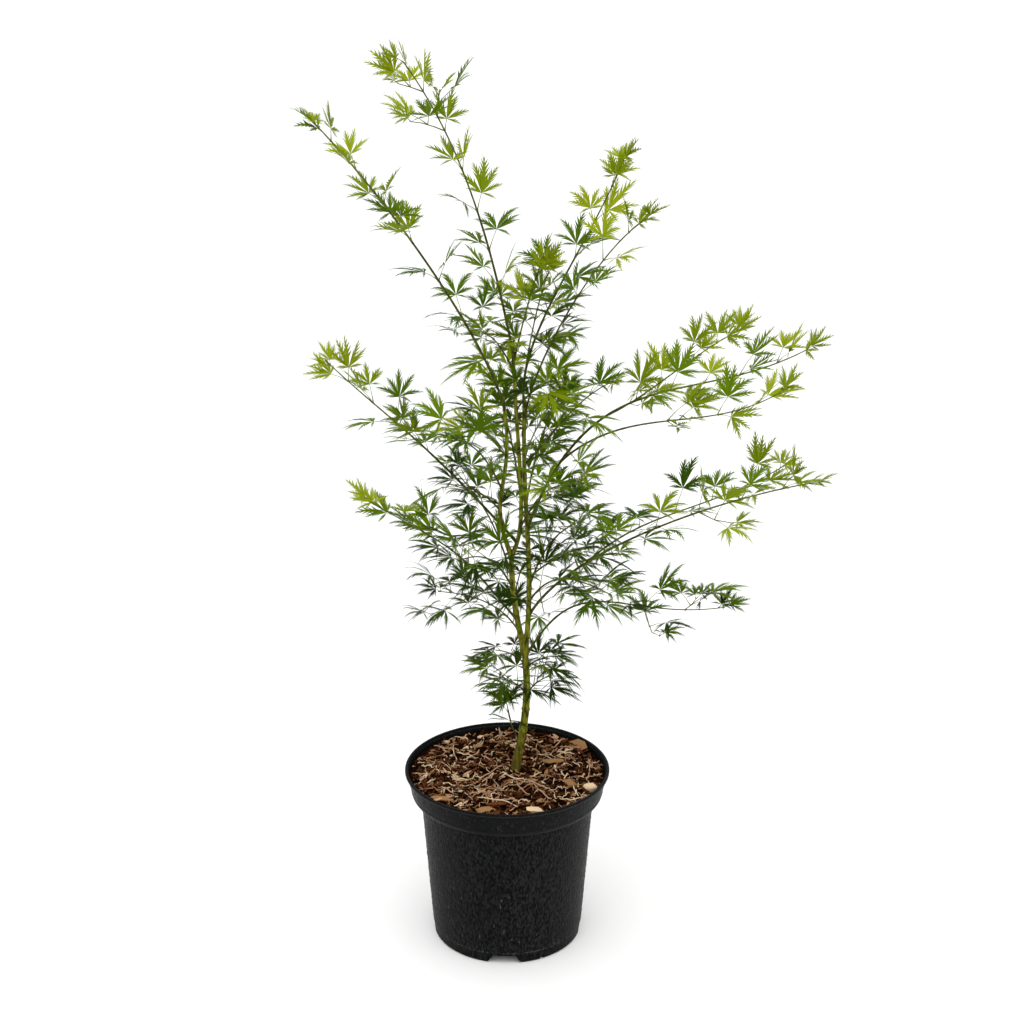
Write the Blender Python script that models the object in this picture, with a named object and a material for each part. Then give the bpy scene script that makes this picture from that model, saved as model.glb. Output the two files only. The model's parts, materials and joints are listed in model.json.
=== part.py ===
# A young Japanese maple with finely cut leaves, in a round nursery pot.
# Metres, +Z up. The origin is the middle of the pot's flat underside, -Y is the front.
# Each stem, bough and mass of foliage is one closed solid with its own name.

import math
import random

import bmesh
import bpy
from mathutils import Matrix, Vector
from mathutils.bvhtree import BVHTree

GAP = 0.0003             # clearance between neighbouring solids
UP = Vector((0, 0, 1))

# ---- pot -------------------------------------------------------------------

POT_HEIGHT = 0.2475
RIM_RADIUS = 0.140
RIM_HEIGHT = 0.004       # the thin lip that turns out over the collar
RIM_WIDTH = 0.005
LIP_ROUND = 0.0012
COLLAR_TOP_RADIUS = 0.1365
COLLAR_LOW_RADIUS = 0.1306
COLLAR_HEIGHT = 0.036
SHOULDER_HEIGHT = 0.006  # slope from the collar in to the wall
WALL_TOP_RADIUS = 0.1183
BASE_RADIUS = 0.1028
BASE_CHAMFER = 0.003
WALL = 0.0020
FLOOR = 0.0030
RING_RADIUS = 0.076      # inside this radius the floor is thin, outside it carries the notches
RING_HEIGHT = 0.0155
NOTCHES = 4              # wide drain notches in the foot, with a small slot beside each
NOTCH_TURN = math.radians(-2.3)  # how far the first one is off the front
NOTCH_TOP = 0.031        # its width at its upper edge
NOTCH_FOOT = 0.047       # and on the ground
NOTCH_HEIGHT = 0.0125
SLOT_TURN = math.radians(30)     # from a notch to its slot
SLOT_WIDTH = 0.006
SLOT_HEIGHT = 0.004
POT_SIDES = 40
POT_SHARP = math.radians(35)     # steeper edges than this stay sharp

SOIL_TOP = 0.2405        # level of the bark mulch, a finger below the rim

# ---- limbs -----------------------------------------------------------------

LIMB_SIDES = 8
LIMB_SHARP = math.radians(60)
LIMB_RING = 0.040        # distance between the rings of a limb's mesh
ROOT_FLARE = 0.0022      # how much wider the trunk is where it meets the mulch
FLARE_HEIGHT = 0.012
FLARE_RINGS = (0.15, 0.4)  # extra rings in the flare, as shares of one ring's distance
TRUNK_FOOT = Vector((0.011, 0.006, SOIL_TOP + GAP))
UPRIGHT = 0.95           # a limb whose direction rises more than this counts as upright
AXIS_STEPS = 200         # points along a limb's middle, to measure the distance to it
START_STEP = 0.001       # share by which a stem's start moves out until it is clear

# One row for each limb:
#   parent, at    the limb it leaves, and the share of that limb's length
#   to            from its foot to its tip: right, back, up
#   leaves, ends  its slope at the foot and at the tip, degrees above level
#   pull          how strongly the foot's and the tip's slope bend it
#   radii         at the foot and at the tip
#   bare          the share that is a bough of its own; the rest is the stem of a mass of foliage
#   age           0 for young lime growth, 1 for old, long, hanging leaves
#   spacing       distance between two pairs of leaves
#   seed          which of the crown's chance arrangements the mass has
#   upright       the slopes are measured in the X-Z plane, for a limb that climbs
LIMBS = {
    "trunk": dict(parent=None, at=0, to=(0.012, -0.006, 0.185), leaves=79, ends=96,
                  pull=(1.2, 1.2), radii=(0.0056, 0.0044), bare=1, upright=True),
    "main_stem": dict(parent="trunk", at=0.97, to=(-0.018, 0.000, 0.144), leaves=104, ends=90,
                      pull=(1.1, 1.0), radii=(0.0040, 0.0036), bare=1, upright=True),
    "side_stem": dict(parent="trunk", at=0.95, to=(-0.001, 0.030, 0.346), leaves=84, ends=88,
                      pull=(1.2, 1.3), radii=(0.0036, 0.0026), bare=1, upright=True),
    "left_leader": dict(parent="main_stem", at=0.96, to=(-0.011, -0.020, 0.223), leaves=112, ends=99,
                        pull=(1.3, 1.7), radii=(0.0029, 0.0023), bare=1, upright=True),
    "centre_leader": dict(parent="main_stem", at=0.96, to=(0.002, 0.020, 0.279), leaves=58, ends=92,
                          pull=(0.5, 1.7), radii=(0.0030, 0.0023), bare=1, upright=True),

    # the three long boughs of the top
    "upper_left_bough": dict(parent="left_leader", at=0.97, to=(-0.233, -0.095, 0.382), leaves=72,
                             ends=43, pull=(0.9, 0.5), radii=(0.0018, 0.0008), bare=0.20,
                             age=(0.75, 0.0), spacing=0.056, seed=6),
    "top_bough": dict(parent="centre_leader", at=0.98, to=(-0.156, 0.048, 0.385), leaves=78,
                      ends=47, pull=(0.8, 1.1), radii=(0.0018, 0.0008), bare=0.04,
                      age=(0.75, 0.0), spacing=0.056, seed=16),
    "upper_right_bough": dict(parent="side_stem", at=0.98, to=(0.137, 0.063, 0.340), leaves=100,
                              ends=70, pull=(0.8, 1.1), radii=(0.0018, 0.0008), bare=0.16,
                              age=(0.75, 0.05), spacing=0.054, seed=632),
    "outer_right_bough": dict(parent="side_stem", at=0.90, to=(0.158, -0.110, 0.305), leaves=92,
                              ends=12, pull=(0.7, 0.5), radii=(0.0014, 0.0007), bare=0.30,
                              age=(0.6, 0.0), spacing=0.060, seed=44),

    # the right side
    "long_right_bough": dict(parent="side_stem", at=0.52, to=(0.403, 0.067, 0.248), leaves=70,
                             ends=33, pull=(1.7, 1.3), radii=(0.0020, 0.0007), bare=0.37,
                             age=(0.45, 0.0), spacing=0.054, seed=54),
    "low_long_right_bough": dict(parent="long_right_bough", at=0.15, to=(0.300, -0.110, 0.150),
                                 leaves=44, ends=45, pull=(1.25, 1.3), radii=(0.0014, 0.0006),
                                 bare=0.40, age=(0.4, 0.0), spacing=0.056, seed=661),
    "back_right_bough": dict(parent="long_right_bough", at=0.33, to=(0.202, 0.125, 0.092),
                             leaves=12, ends=14, pull=(0.8, 1.3), radii=(0.0013, 0.0006),
                             bare=0.10, age=(0.4, 0.0), spacing=0.056, seed=81),
    "middle_right_bough": dict(parent="side_stem", at=0.14, to=(0.375, -0.100, 0.226), leaves=64,
                               ends=12, pull=(0.8, 0.7), radii=(0.0019, 0.0007), bare=0.30,
                               age=(0.9, 0.0), spacing=0.056, seed=691),
    "middle_back_right_bough": dict(parent="middle_right_bough", at=0.28, to=(0.295, 0.135, 0.105),
                                    leaves=36, ends=27, pull=(1.0, 1.3), radii=(0.0013, 0.0006),
                                    bare=0.16, age=(0.8, 0.0), spacing=0.068, seed=104),
    "low_right_bough": dict(parent="trunk", at=0.93, to=(0.310, 0.091, 0.042), leaves=60,
                            ends=7, pull=(1.5, 1.7), radii=(0.0015, 0.0006), bare=0.22,
                            age=(1.0, 0.3), spacing=0.064, seed=112),

    # the left side
    "middle_left_bough": dict(parent="centre_leader", at=0.13, to=(-0.277, 0.118, 0.237), leaves=43,
                              ends=39, pull=(1.7, 1.2), radii=(0.0018, 0.0007), bare=0.30,
                              age=(0.7, 0.0), spacing=0.052, seed=721),
    "low_left_bough": dict(parent="main_stem", at=0.30, to=(-0.212, -0.148, 0.238), leaves=52,
                           ends=36, pull=(1.5, 1.9), radii=(0.0015, 0.0006), bare=0.26,
                           age=(0.9, 0.0), spacing=0.056, seed=136),
    "lowest_left_bough": dict(parent="main_stem", at=0.16, to=(-0.120, 0.082, 0.030), leaves=56,
                              ends=-10, pull=(1.2, 0.8), radii=(0.0012, 0.0006), bare=0,
                              age=(1.0, 0.6), spacing=0.034, seed=751),

    # shorter boughs that fill the crown toward the front and the back
    "front_left_bough": dict(parent="main_stem", at=0.62, to=(-0.075, -0.205, 0.115), leaves=48,
                             ends=10, pull=(1.2, 1.2), radii=(0.0014, 0.0006), bare=0,
                             age=(1.0, 0.7), spacing=0.070, seed=157),
    "front_right_bough": dict(parent="side_stem", at=0.20, to=(0.110, -0.200, 0.085), leaves=50,
                              ends=4, pull=(1.2, 1.2), radii=(0.0014, 0.0006), bare=0,
                              age=(1.0, 0.7), spacing=0.052, seed=173),
    "front_high_left_bough": dict(parent="left_leader", at=0.48, to=(-0.075, -0.190, 0.130),
                                  leaves=50, ends=16, pull=(1.2, 1.2), radii=(0.0013, 0.0006),
                                  bare=0, age=(0.8, 0.45), spacing=0.056, seed=186),
    "front_high_right_bough": dict(parent="centre_leader", at=0.24, to=(0.080, -0.195, 0.125),
                                   leaves=50, ends=12, pull=(1.2, 1.2), radii=(0.0013, 0.0006),
                                   bare=0, age=(0.85, 0.5), spacing=0.050, seed=194),
    "back_high_left_bough": dict(parent="centre_leader", at=0.42, to=(-0.050, 0.240, 0.135),
                                 leaves=52, ends=18, pull=(1.2, 1.2), radii=(0.0014, 0.0006),
                                 bare=0, age=(0.8, 0.3), spacing=0.070, seed=807),
    "back_high_right_bough": dict(parent="side_stem", at=0.62, to=(0.060, 0.240, 0.105), leaves=50,
                                  ends=12, pull=(1.2, 1.2), radii=(0.0014, 0.0006), bare=0,
                                  age=(0.8, 0.35), spacing=0.064, seed=219),
    "back_left_bough": dict(parent="main_stem", at=0.72, to=(-0.095, 0.235, 0.090), leaves=48,
                            ends=8, pull=(1.2, 1.2), radii=(0.0014, 0.0006), bare=0,
                            age=(1.0, 0.6), spacing=0.076, seed=240),
    "back_right_low_bough": dict(parent="side_stem", at=0.26, to=(0.100, 0.215, 0.030), leaves=46,
                                 ends=-4, pull=(1.2, 1.2), radii=(0.0014, 0.0006), bare=0,
                                 age=(1.0, 0.7), spacing=0.062, seed=852),

    # short leafy shoots on the trunk, the stems and the leaders
    "trunk_low_left_shoot": dict(parent="trunk", at=0.62, to=(-0.036, -0.014, 0.030), leaves=66,
        ends=10, pull=(1.2, 1.0), radii=(0.0011, 0.0007), bare=0, age=(1.0, 0.9), spacing=0.020, seed=264),
    "trunk_left_shoot": dict(parent="trunk", at=0.86, to=(-0.044, 0.010, 0.020), leaves=60,
        ends=-5, pull=(1.2, 1.0), radii=(0.0011, 0.0007), bare=0, age=(1.0, 0.9), spacing=0.028, seed=269),
    "trunk_low_right_shoot": dict(parent="trunk", at=0.62, to=(0.030, 0.010, 0.024), leaves=66,
        ends=10, pull=(1.2, 1.0), radii=(0.0011, 0.0007), bare=0, age=(1.0, 0.9), spacing=0.028, seed=288),
    "trunk_right_shoot": dict(parent="trunk", at=0.84, to=(0.034, -0.016, 0.022), leaves=60,
        ends=0, pull=(1.2, 1.0), radii=(0.0011, 0.0007), bare=0, age=(1.0, 0.9), spacing=0.028, seed=896),
    "stem_left_shoot": dict(parent="left_leader", at=0.30, to=(-0.064, 0.018, 0.030), leaves=50,
        ends=0, pull=(1.2, 1.0), radii=(0.0011, 0.0007), bare=0, age=(0.95, 0.8), spacing=0.028, seed=902),
    "stem_right_shoot": dict(parent="side_stem", at=0.58, to=(0.058, -0.022, 0.036), leaves=52,
        ends=6, pull=(1.2, 1.0), radii=(0.0011, 0.0007), bare=0, age=(0.9, 0.7), spacing=0.028, seed=921),
    "stem_back_shoot": dict(parent="main_stem", at=0.50, to=(0.014, 0.070, 0.030), leaves=52,
        ends=6, pull=(1.2, 1.0), radii=(0.0011, 0.0007), bare=0, age=(1.0, 0.8), spacing=0.028, seed=926),
    "leader_left_shoot": dict(parent="left_leader", at=0.72, to=(-0.052, -0.018, 0.048), leaves=55,
        ends=12, pull=(1.2, 1.0), radii=(0.0011, 0.0007), bare=0, age=(0.4, 0.1), spacing=0.028, seed=946),
    "leader_back_shoot": dict(parent="centre_leader", at=0.62, to=(-0.050, 0.050, 0.040), leaves=55,
        ends=10, pull=(1.2, 1.0), radii=(0.0011, 0.0007), bare=0, age=(0.8, 0.6), spacing=0.028, seed=353),
    "leader_right_shoot": dict(parent="centre_leader", at=0.80, to=(0.050, -0.034, 0.046), leaves=58,
        ends=12, pull=(1.2, 1.0), radii=(0.0011, 0.0007), bare=0, age=(0.75, 0.5), spacing=0.028, seed=972),
    "crown_left_shoot": dict(parent="centre_leader", at=0.93, to=(-0.044, -0.020, 0.056), leaves=60,
        ends=16, pull=(1.2, 1.0), radii=(0.0011, 0.0007), bare=0, age=(0.7, 0.4), spacing=0.028, seed=384),
    "crown_right_shoot": dict(parent="centre_leader", at=0.95, to=(0.040, -0.012, 0.150), leaves=78,
        ends=70, pull=(1.1, 1.0), radii=(0.0013, 0.0008), bare=0, age=(0.6, 0.05), spacing=0.050, seed=988),
    "inner_right_shoot": dict(parent="side_stem", at=0.78, to=(0.122, -0.035, 0.128), leaves=50,
        ends=24, pull=(1.2, 1.0), radii=(0.0013, 0.0007), bare=0, age=(0.7, 0.2), spacing=0.052, seed=398),
    "side_back_shoot": dict(parent="side_stem", at=0.80, to=(0.034, 0.060, 0.048), leaves=56,
        ends=10, pull=(1.2, 1.0), radii=(0.0011, 0.0007), bare=0, age=(0.7, 0.5), spacing=0.028, seed=410),
    "low_inner_right_shoot": dict(parent="side_stem", at=0.30, to=(0.076, -0.012, 0.040), leaves=48,
        ends=0, pull=(1.2, 1.0), radii=(0.0012, 0.0007), bare=0, age=(0.95, 0.7), spacing=0.028, seed=432),
    "upper_middle_shoot": dict(parent="upper_right_bough", at=0.12, to=(0.034, -0.030, 0.160), leaves=80,
        ends=66, pull=(1.2, 1.0), radii=(0.0013, 0.0007), bare=0, age=(0.5, 0.0), spacing=0.044, seed=47),
    "high_top_shoot": dict(parent="top_bough", at=0.76, to=(0.006, -0.050, 0.040), leaves=60,
        ends=30, pull=(1.2, 1.0), radii=(0.0010, 0.0007), bare=0, age=(0.3, 0.0), spacing=0.030, seed=53),
    "trunk_foot_shoot": dict(parent="trunk", at=0.20, to=(-0.018, -0.010, 0.060), leaves=60,
        ends=84, pull=(1.2, 1.0), radii=(0.0009, 0.0007), bare=0, age=(0.9, 0.8), spacing=0.055, seed=457),
}

# ---- twigs -----------------------------------------------------------------

TWIG_SIDES = 3
TWIG_RING = 0.040
TWIG_RINGS = 5           # at least, so that a short twig bends as its leaves expect
TWIG_LEAST = 0.0011      # so that a stalk's foot lies wholly inside its twig
TWIG_SHARE = 0.55        # a side twig's radius against its stem's
TWIG_TIP_SHARE = 0.7     # its radius at the tip against its foot
TWIG_THINNEST = 0.0008
STEM_END = 0.93          # the tip leaves take up the rest of a stem's curve
STEM_STEPS = 12          # straight stretches that measure a stem's length
TIP_BACK = 0.005         # the last pair of leaves stands this far behind the stem's end
TIP_SPREAD = 0.85        # angle between the last pair and the stem
FIRST_JOINT = 0.6        # bare stretch before the first pair of leaves, in joints
LAST_JOINT = 0.4         # and what is left after the last pair
JOINT_TURN = 0.3         # how far a pair strays from a right angle to the pair before it
LEAF_SPREAD = (38, 52)   # angle between a leaf and its twig, degrees
SPREAD_WITH_AGE = 12     # and what age adds to it
SIDE_TWIG_SHARE = 0.06   # how many of the leaf places carry a side twig instead
SIDE_TWIG_JOINTS = 3     # only stems with more joints than this carry side twigs
SIDE_TWIG_LENGTH = (0.040, 0.065)
SIDE_TWIG_LEVEL = 0.4    # how strongly a side twig levels out
SIDE_TWIG_ENDS = 5       # slope at its tip, degrees
SIDE_TWIG_PULL = 0.9
SIDE_MIDDLE = (0.5, 0.3)         # its middle pair: share of its length, turn round it
SIDE_TIP = (0.97, 0, 0.6)        # its last pair: share, turn, spread

# ---- leaves ----------------------------------------------------------------

LEAF_REACH = 0.068       # from the stalk's end to the tip of the middle lobe, old leaf
LEAF_SIZES = (0.88, 1.14)
LEAF_THICKNESS = 0.0018  # in the middle, and nothing at the lobes' edges
THICK_ABOVE = 0.6        # how much of the thickness is above the blade's middle plane
YOUNG_SHARE = 0.66       # a young leaf against an old one
TIP_SHARE = 0.70         # a leaf that still opens at a stem's tip against a young one
STALK_LENGTH = (0.022, 0.040)
STALK_WITH_AGE = (0.7, 0.4)      # a young stalk's share of that length, and what age adds
TIP_STALK_SHARE = 0.35
STALK_RADIUS = 0.0005
HEEL_BACK = 5            # the blade starts this many stalk radii before the stalk's end
HEEL_WIDTH = 1.6         # and is this many stalk radii wide there, to each side
STALK_CORNERS = (-30, 210, 90)
NOTCH_SHARE = 0.25       # how far out the cuts between two lobes end
NOTCH_DROOP = 0.4        # how much of the lobes' droop the ends of the cuts have
LOBES = ((96, 0.60), (47, 0.90), (0, 1.0), (-47, 0.90), (-96, 0.60))   # angle, length
TIP_LOBES = ((52, 0.88), (0, 1.0), (-52, 0.88))      # of a leaf that still opens
FAN = (0.76, 1.0)        # a young leaf's lobes are still bunched, an old leaf's spread out
AGE_SPREAD = 0.12        # two leaves at one place differ by up to this in age
TO_LIGHT = 0.45          # leaf stalks level out, so that few leaves hang under their twig
LIFT = (0.30, 0.95)      # rise of a young stalk
LIFT_LOST = 0.40         # what age takes from it
DIP = (-0.40, 0.10)      # fall of a young blade against its stalk
DIP_WITH_AGE = 0.32
DROOP = 0.02             # how far a young lobe's tip hangs, as a share of its length
DROOP_WITH_AGE = 0.15
DROOP_SPREAD = (-0.05, 0.08)
SIDE_LEAN = 0.5          # how far a leaf's face turns to one side
BACK_LEAN = (-0.5, 0.4)  # and to the back
FRONT_LEAN = (0.50, 0.02)        # young leaves face the light in front, old ones lie level
LEAN_LOST = 0.50         # share of these leans that is lost with age
LIME_AGE = 0.25          # a mass whose tip is younger than this counts as lime
TRIES = 7                # small turns of a leaf before its place is left empty
TRY_YAW = 0.5
TRY_PITCH = 0.4
TRY_RISE = 0.8           # how much of the pitch goes into the stalk's rise
TRY_LONGER = 0.06        # each turn also makes the stalk longer by this share
SLIVERS = (0.00005, 0.00002, 0.000001)   # shorter edges that a union leaves are closed up


# ---- objects and materials -------------------------------------------------

def clear_scene():
    for item in list(bpy.data.objects):
        bpy.data.objects.remove(item, do_unlink=True)


def finish(name, colour, roughness):
    material = bpy.data.materials.new(name)
    material.use_nodes = True
    shader = material.node_tree.nodes["Principled BSDF"]
    shader.inputs["Base Color"].default_value = (*colour, 1)
    shader.inputs["Roughness"].default_value = roughness
    shader.inputs["Metallic"].default_value = 0
    return material


def add_object(name, mesh, material=None):
    item = bpy.data.objects.new(name, mesh)
    bpy.context.scene.collection.objects.link(item)
    if material:
        mesh.materials.clear()
        mesh.materials.append(material)
    return item


def mesh_from(bm, name):
    bmesh.ops.recalc_face_normals(bm, faces=bm.faces)
    if bm.calc_volume(signed=True) < 0:
        bmesh.ops.reverse_faces(bm, faces=bm.faces)
    mesh = bpy.data.meshes.new(name)
    bm.to_mesh(mesh)
    bm.free()
    return mesh


def join_by_boolean(item, others, operation, solver):
    """Applies one Boolean of the item with a collection of others, then removes the others."""
    group = bpy.data.collections.new("operands")
    bpy.context.scene.collection.children.link(group)
    for other in others:
        group.objects.link(other)
    modifier = item.modifiers.new("join", "BOOLEAN")
    modifier.operation = operation
    modifier.operand_type = "COLLECTION"
    modifier.collection = group
    modifier.solver = solver
    depsgraph = bpy.context.evaluated_depsgraph_get()
    result = bpy.data.meshes.new_from_object(item.evaluated_get(depsgraph))
    item.modifiers.clear()
    item.data = result
    for other in others:
        bpy.data.objects.remove(other, do_unlink=True)
    bpy.data.collections.remove(group)


def close_slivers(mesh):
    """Closes up the tiny edges left by a union, by the longest limit that keeps the mesh closed."""
    for limit in SLIVERS:
        bm = bmesh.new()
        bm.from_mesh(mesh)
        bmesh.ops.dissolve_degenerate(bm, dist=limit, edges=bm.edges)
        bmesh.ops.triangulate(bm, faces=bm.faces)
        closed = all(len(edge.link_faces) == 2 for edge in bm.edges)
        if closed:
            bm.to_mesh(mesh)
        bm.free()
        if closed:
            return


def keep_main_body(mesh):
    """Drops loose scraps and the walls of sealed hollows, so that one closed body is left."""
    bm = bmesh.new()
    bm.from_mesh(mesh)
    seen = set()
    bodies = []
    for seed in bm.faces:
        if seed in seen:
            continue
        body = [seed]
        seen.add(seed)
        for face in body:
            for edge in face.edges:
                for near in edge.link_faces:
                    if near not in seen:
                        seen.add(near)
                        body.append(near)
        bodies.append(body)
    bodies.sort(key=len)
    for body in bodies[:-1]:
        bmesh.ops.delete(bm, geom=body, context="FACES")
    bmesh.ops.triangulate(bm, faces=bm.faces)
    bm.to_mesh(mesh)
    bm.free()


# ---- pot and mulch ---------------------------------------------------------

def turned(name, profile, sides):
    """Spins a closed profile of (radius, height) points, whose first and last lie on the axis."""
    bm = bmesh.new()
    rings = []
    for radius, height in profile:
        if radius == 0:
            rings.append([bm.verts.new((0, 0, height))] * sides)
            continue
        turn = [2 * math.pi * i / sides for i in range(sides)]
        rings.append([bm.verts.new((radius * math.cos(a), radius * math.sin(a), height)) for a in turn])
    for low, high in zip(rings, rings[1:]):
        for i in range(sides):
            corners = [low[i], low[(i + 1) % sides], high[(i + 1) % sides], high[i]]
            bm.faces.new(list(dict.fromkeys(corners)))
    return mesh_from(bm, name)


def pot_wall_radius(height, inset):
    """Radius of the pot's outer face at a height, less an inset."""
    collar_foot = POT_HEIGHT - COLLAR_HEIGHT
    wall_top = collar_foot - SHOULDER_HEIGHT
    if height >= collar_foot:
        share = (height - collar_foot) / (COLLAR_HEIGHT - RIM_HEIGHT)
        return COLLAR_LOW_RADIUS + (COLLAR_TOP_RADIUS - COLLAR_LOW_RADIUS) * share - inset
    share = (height - BASE_CHAMFER) / (wall_top - BASE_CHAMFER)
    return BASE_RADIUS + (WALL_TOP_RADIUS - BASE_RADIUS) * min(share, 1) - inset


def notch_cutter(turn, top_width, foot_width, height):
    """A wedge through the pot's foot, as wide as given at its upper edge and on the ground."""
    bm = bmesh.new()
    bmesh.ops.create_cube(bm, size=1)
    reach = RIM_RADIUS - RING_RADIUS - WALL
    bmesh.ops.scale(bm, vec=(reach, 1, 2 * height), verts=bm.verts)
    bmesh.ops.translate(bm, vec=(RING_RADIUS + WALL + reach / 2, 0, 0), verts=bm.verts)
    for corner in bm.verts:
        corner.co.y *= top_width if corner.co.z > 0 else 2 * foot_width - top_width
    bmesh.ops.transform(bm, matrix=Matrix.Rotation(turn, 4, "Z"), verts=bm.verts)
    return add_object("notch", mesh_from(bm, "notch"))


def make_pot(plastic):
    collar_foot = POT_HEIGHT - COLLAR_HEIGHT
    wall_top = collar_foot - SHOULDER_HEIGHT
    lip_foot = POT_HEIGHT - RIM_HEIGHT
    profile = [
        (0, 0),
        (BASE_RADIUS - BASE_CHAMFER, 0),
        (BASE_RADIUS, BASE_CHAMFER),
        (WALL_TOP_RADIUS, wall_top),
        (COLLAR_LOW_RADIUS, collar_foot),
        (COLLAR_TOP_RADIUS, lip_foot),
        (RIM_RADIUS, lip_foot),
        (RIM_RADIUS, POT_HEIGHT - LIP_ROUND),
        (RIM_RADIUS - LIP_ROUND, POT_HEIGHT),
        (RIM_RADIUS - RIM_WIDTH, POT_HEIGHT),
        (pot_wall_radius(collar_foot, WALL), collar_foot),
        (pot_wall_radius(wall_top, WALL), wall_top),
        (pot_wall_radius(RING_HEIGHT, WALL), RING_HEIGHT),
        (RING_RADIUS, RING_HEIGHT),
        (RING_RADIUS, FLOOR),
        (0, FLOOR),
    ]
    pot = add_object("pot", turned("pot", profile, POT_SIDES), plastic)
    cutters = []
    for i in range(NOTCHES):
        turn = NOTCH_TURN - math.pi / 2 + 2 * math.pi * i / NOTCHES
        cutters.append(notch_cutter(turn, NOTCH_TOP, NOTCH_FOOT, NOTCH_HEIGHT))
        cutters.append(notch_cutter(turn + SLOT_TURN, SLOT_WIDTH, SLOT_WIDTH, SLOT_HEIGHT))
    join_by_boolean(pot, cutters, "DIFFERENCE", "EXACT")
    keep_main_body(pot.data)
    pot.data.set_sharp_from_angle(angle=POT_SHARP)
    return pot


def make_mulch(bark):
    collar_foot = POT_HEIGHT - COLLAR_HEIGHT
    wall_top = collar_foot - SHOULDER_HEIGHT
    inset = WALL + 2 * GAP
    profile = [
        (0, FLOOR + GAP),
        (RING_RADIUS - 2 * GAP, FLOOR + GAP),
        (RING_RADIUS - 2 * GAP, RING_HEIGHT + GAP),
        (pot_wall_radius(RING_HEIGHT, inset), RING_HEIGHT + GAP),
        (pot_wall_radius(wall_top, inset), wall_top),
        (pot_wall_radius(collar_foot, inset), collar_foot + GAP),
        (pot_wall_radius(SOIL_TOP, inset), SOIL_TOP),
        (0, SOIL_TOP),
    ]
    return add_object("bark_mulch", turned("bark_mulch", profile, POT_SIDES), bark)


# ---- limbs -----------------------------------------------------------------

class Limb:
    """A smooth tapering limb, from its foot to its tip."""

    def __init__(self, name, foot, row):
        self.name = name
        self.row = row
        self.foot = foot
        self.reach = Vector(row["to"])
        heading = Vector((1, 0, 0)) if row.get("upright") else Vector((*row["to"][:2], 0)).normalized()
        self.first = self.slope(heading, row["leaves"]) * row["pull"][0] * self.reach.length
        self.last = self.slope(heading, row["ends"]) * row["pull"][1] * self.reach.length

    @staticmethod
    def slope(heading, degrees):
        angle = math.radians(degrees)
        return heading * math.cos(angle) + UP * math.sin(angle)

    def point(self, t):
        rise = self.reach * (3 * t * t - 2 * t ** 3)
        return self.foot + rise + self.first * (t ** 3 - 2 * t * t + t) + self.last * (t ** 3 - t * t)

    def direction(self, t):
        rise = self.reach * (6 * t - 6 * t * t)
        return (rise + self.first * (3 * t * t - 4 * t + 1) + self.last * (3 * t * t - 2 * t)).normalized()

    def radius(self, t):
        foot, tip = self.row["radii"]
        flare = 0
        if self.row["parent"] is None:
            flare = ROOT_FLARE * math.exp(-(self.point(t).z - self.foot.z) / FLARE_HEIGHT)
        return foot + (tip - foot) * t + flare


def frames(directions, start_side):
    """A sideways vector for each direction of a path, turned as little as possible along it."""
    side = (start_side - directions[0] * start_side.dot(directions[0])).normalized()
    sides = [side]
    for before, after in zip(directions, directions[1:]):
        side = before.rotation_difference(after) @ side
        side = (side - after * side.dot(after)).normalized()
        sides.append(side)
    return sides


def add_tube(bm, points, directions, radii, count):
    """Adds a closed tube with flat ends along the points."""
    start = Vector((0, 1, 0)) if abs(directions[0].y) < 0.9 else Vector((1, 0, 0))
    rings = []
    for point, along, side, radius in zip(points, directions, frames(directions, start), radii):
        other = along.cross(side)
        turns = [2 * math.pi * i / count for i in range(count)]
        ring = [point + side * radius * math.cos(a) + other * radius * math.sin(a) for a in turns]
        rings.append([bm.verts.new(corner) for corner in ring])
    for low, high in zip(rings, rings[1:]):
        for i in range(count):
            bm.faces.new((low[i], low[(i + 1) % count], high[(i + 1) % count], high[i]))
    bm.faces.new(rings[0][::-1])
    bm.faces.new(rings[-1])


def limb_tube(limb, start, end, sides, ring, grow=0.0):
    """The stretch of a limb between two shares of it; grow makes it wider and longer all round."""
    length = (limb.point(end) - limb.point(start)).length
    count = max(TWIG_RINGS if sides == TWIG_SIDES else 2, round(length / ring) + 1)
    rooted = limb.row["parent"] is None
    steps = sorted([*range(count), *(FLARE_RINGS if rooted else ())])
    shares = [start + (end - start) * step / (count - 1) for step in steps]
    points = [limb.point(t) for t in shares]
    directions = [limb.direction(t) for t in shares]
    if rooted:
        directions[0] = UP
    points[0] = points[0] - directions[0] * grow
    points[-1] = points[-1] + directions[-1] * grow
    least = TWIG_LEAST if sides == TWIG_SIDES else 0
    radii = [max(limb.radius(t), least) + grow / math.cos(math.pi / sides) for t in shares]
    bm = bmesh.new()
    add_tube(bm, points, directions, radii, sides)
    return bm


def tree_of(mesh):
    bm = bmesh.new()
    bm.from_mesh(mesh)
    tree = BVHTree.FromBMesh(bm)
    bm.free()
    return tree


def make_limb(limb, bark, earlier):
    """A limb's solid, cut clear of the earlier limbs that its foot runs into."""
    bm = limb_tube(limb, 0, limb.row["bare"], LIMB_SIDES, LIMB_RING)
    item = add_object(limb.name, mesh_from(bm, limb.name), bark)
    own = tree_of(item.data)
    cutters = []
    for other in earlier:
        bm = limb_tube(other, 0, other.row["bare"], LIMB_SIDES, LIMB_RING, grow=GAP)
        if own.overlap(BVHTree.FromBMesh(bm)):
            cutters.append(add_object("clearance", mesh_from(bm, "clearance")))
        else:
            bm.free()
    if cutters:
        join_by_boolean(item, cutters, "DIFFERENCE", "EXACT")
        keep_main_body(item.data)
    item.data.shade_smooth()
    item.data.set_sharp_from_angle(angle=LIMB_SHARP)
    return item


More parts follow.
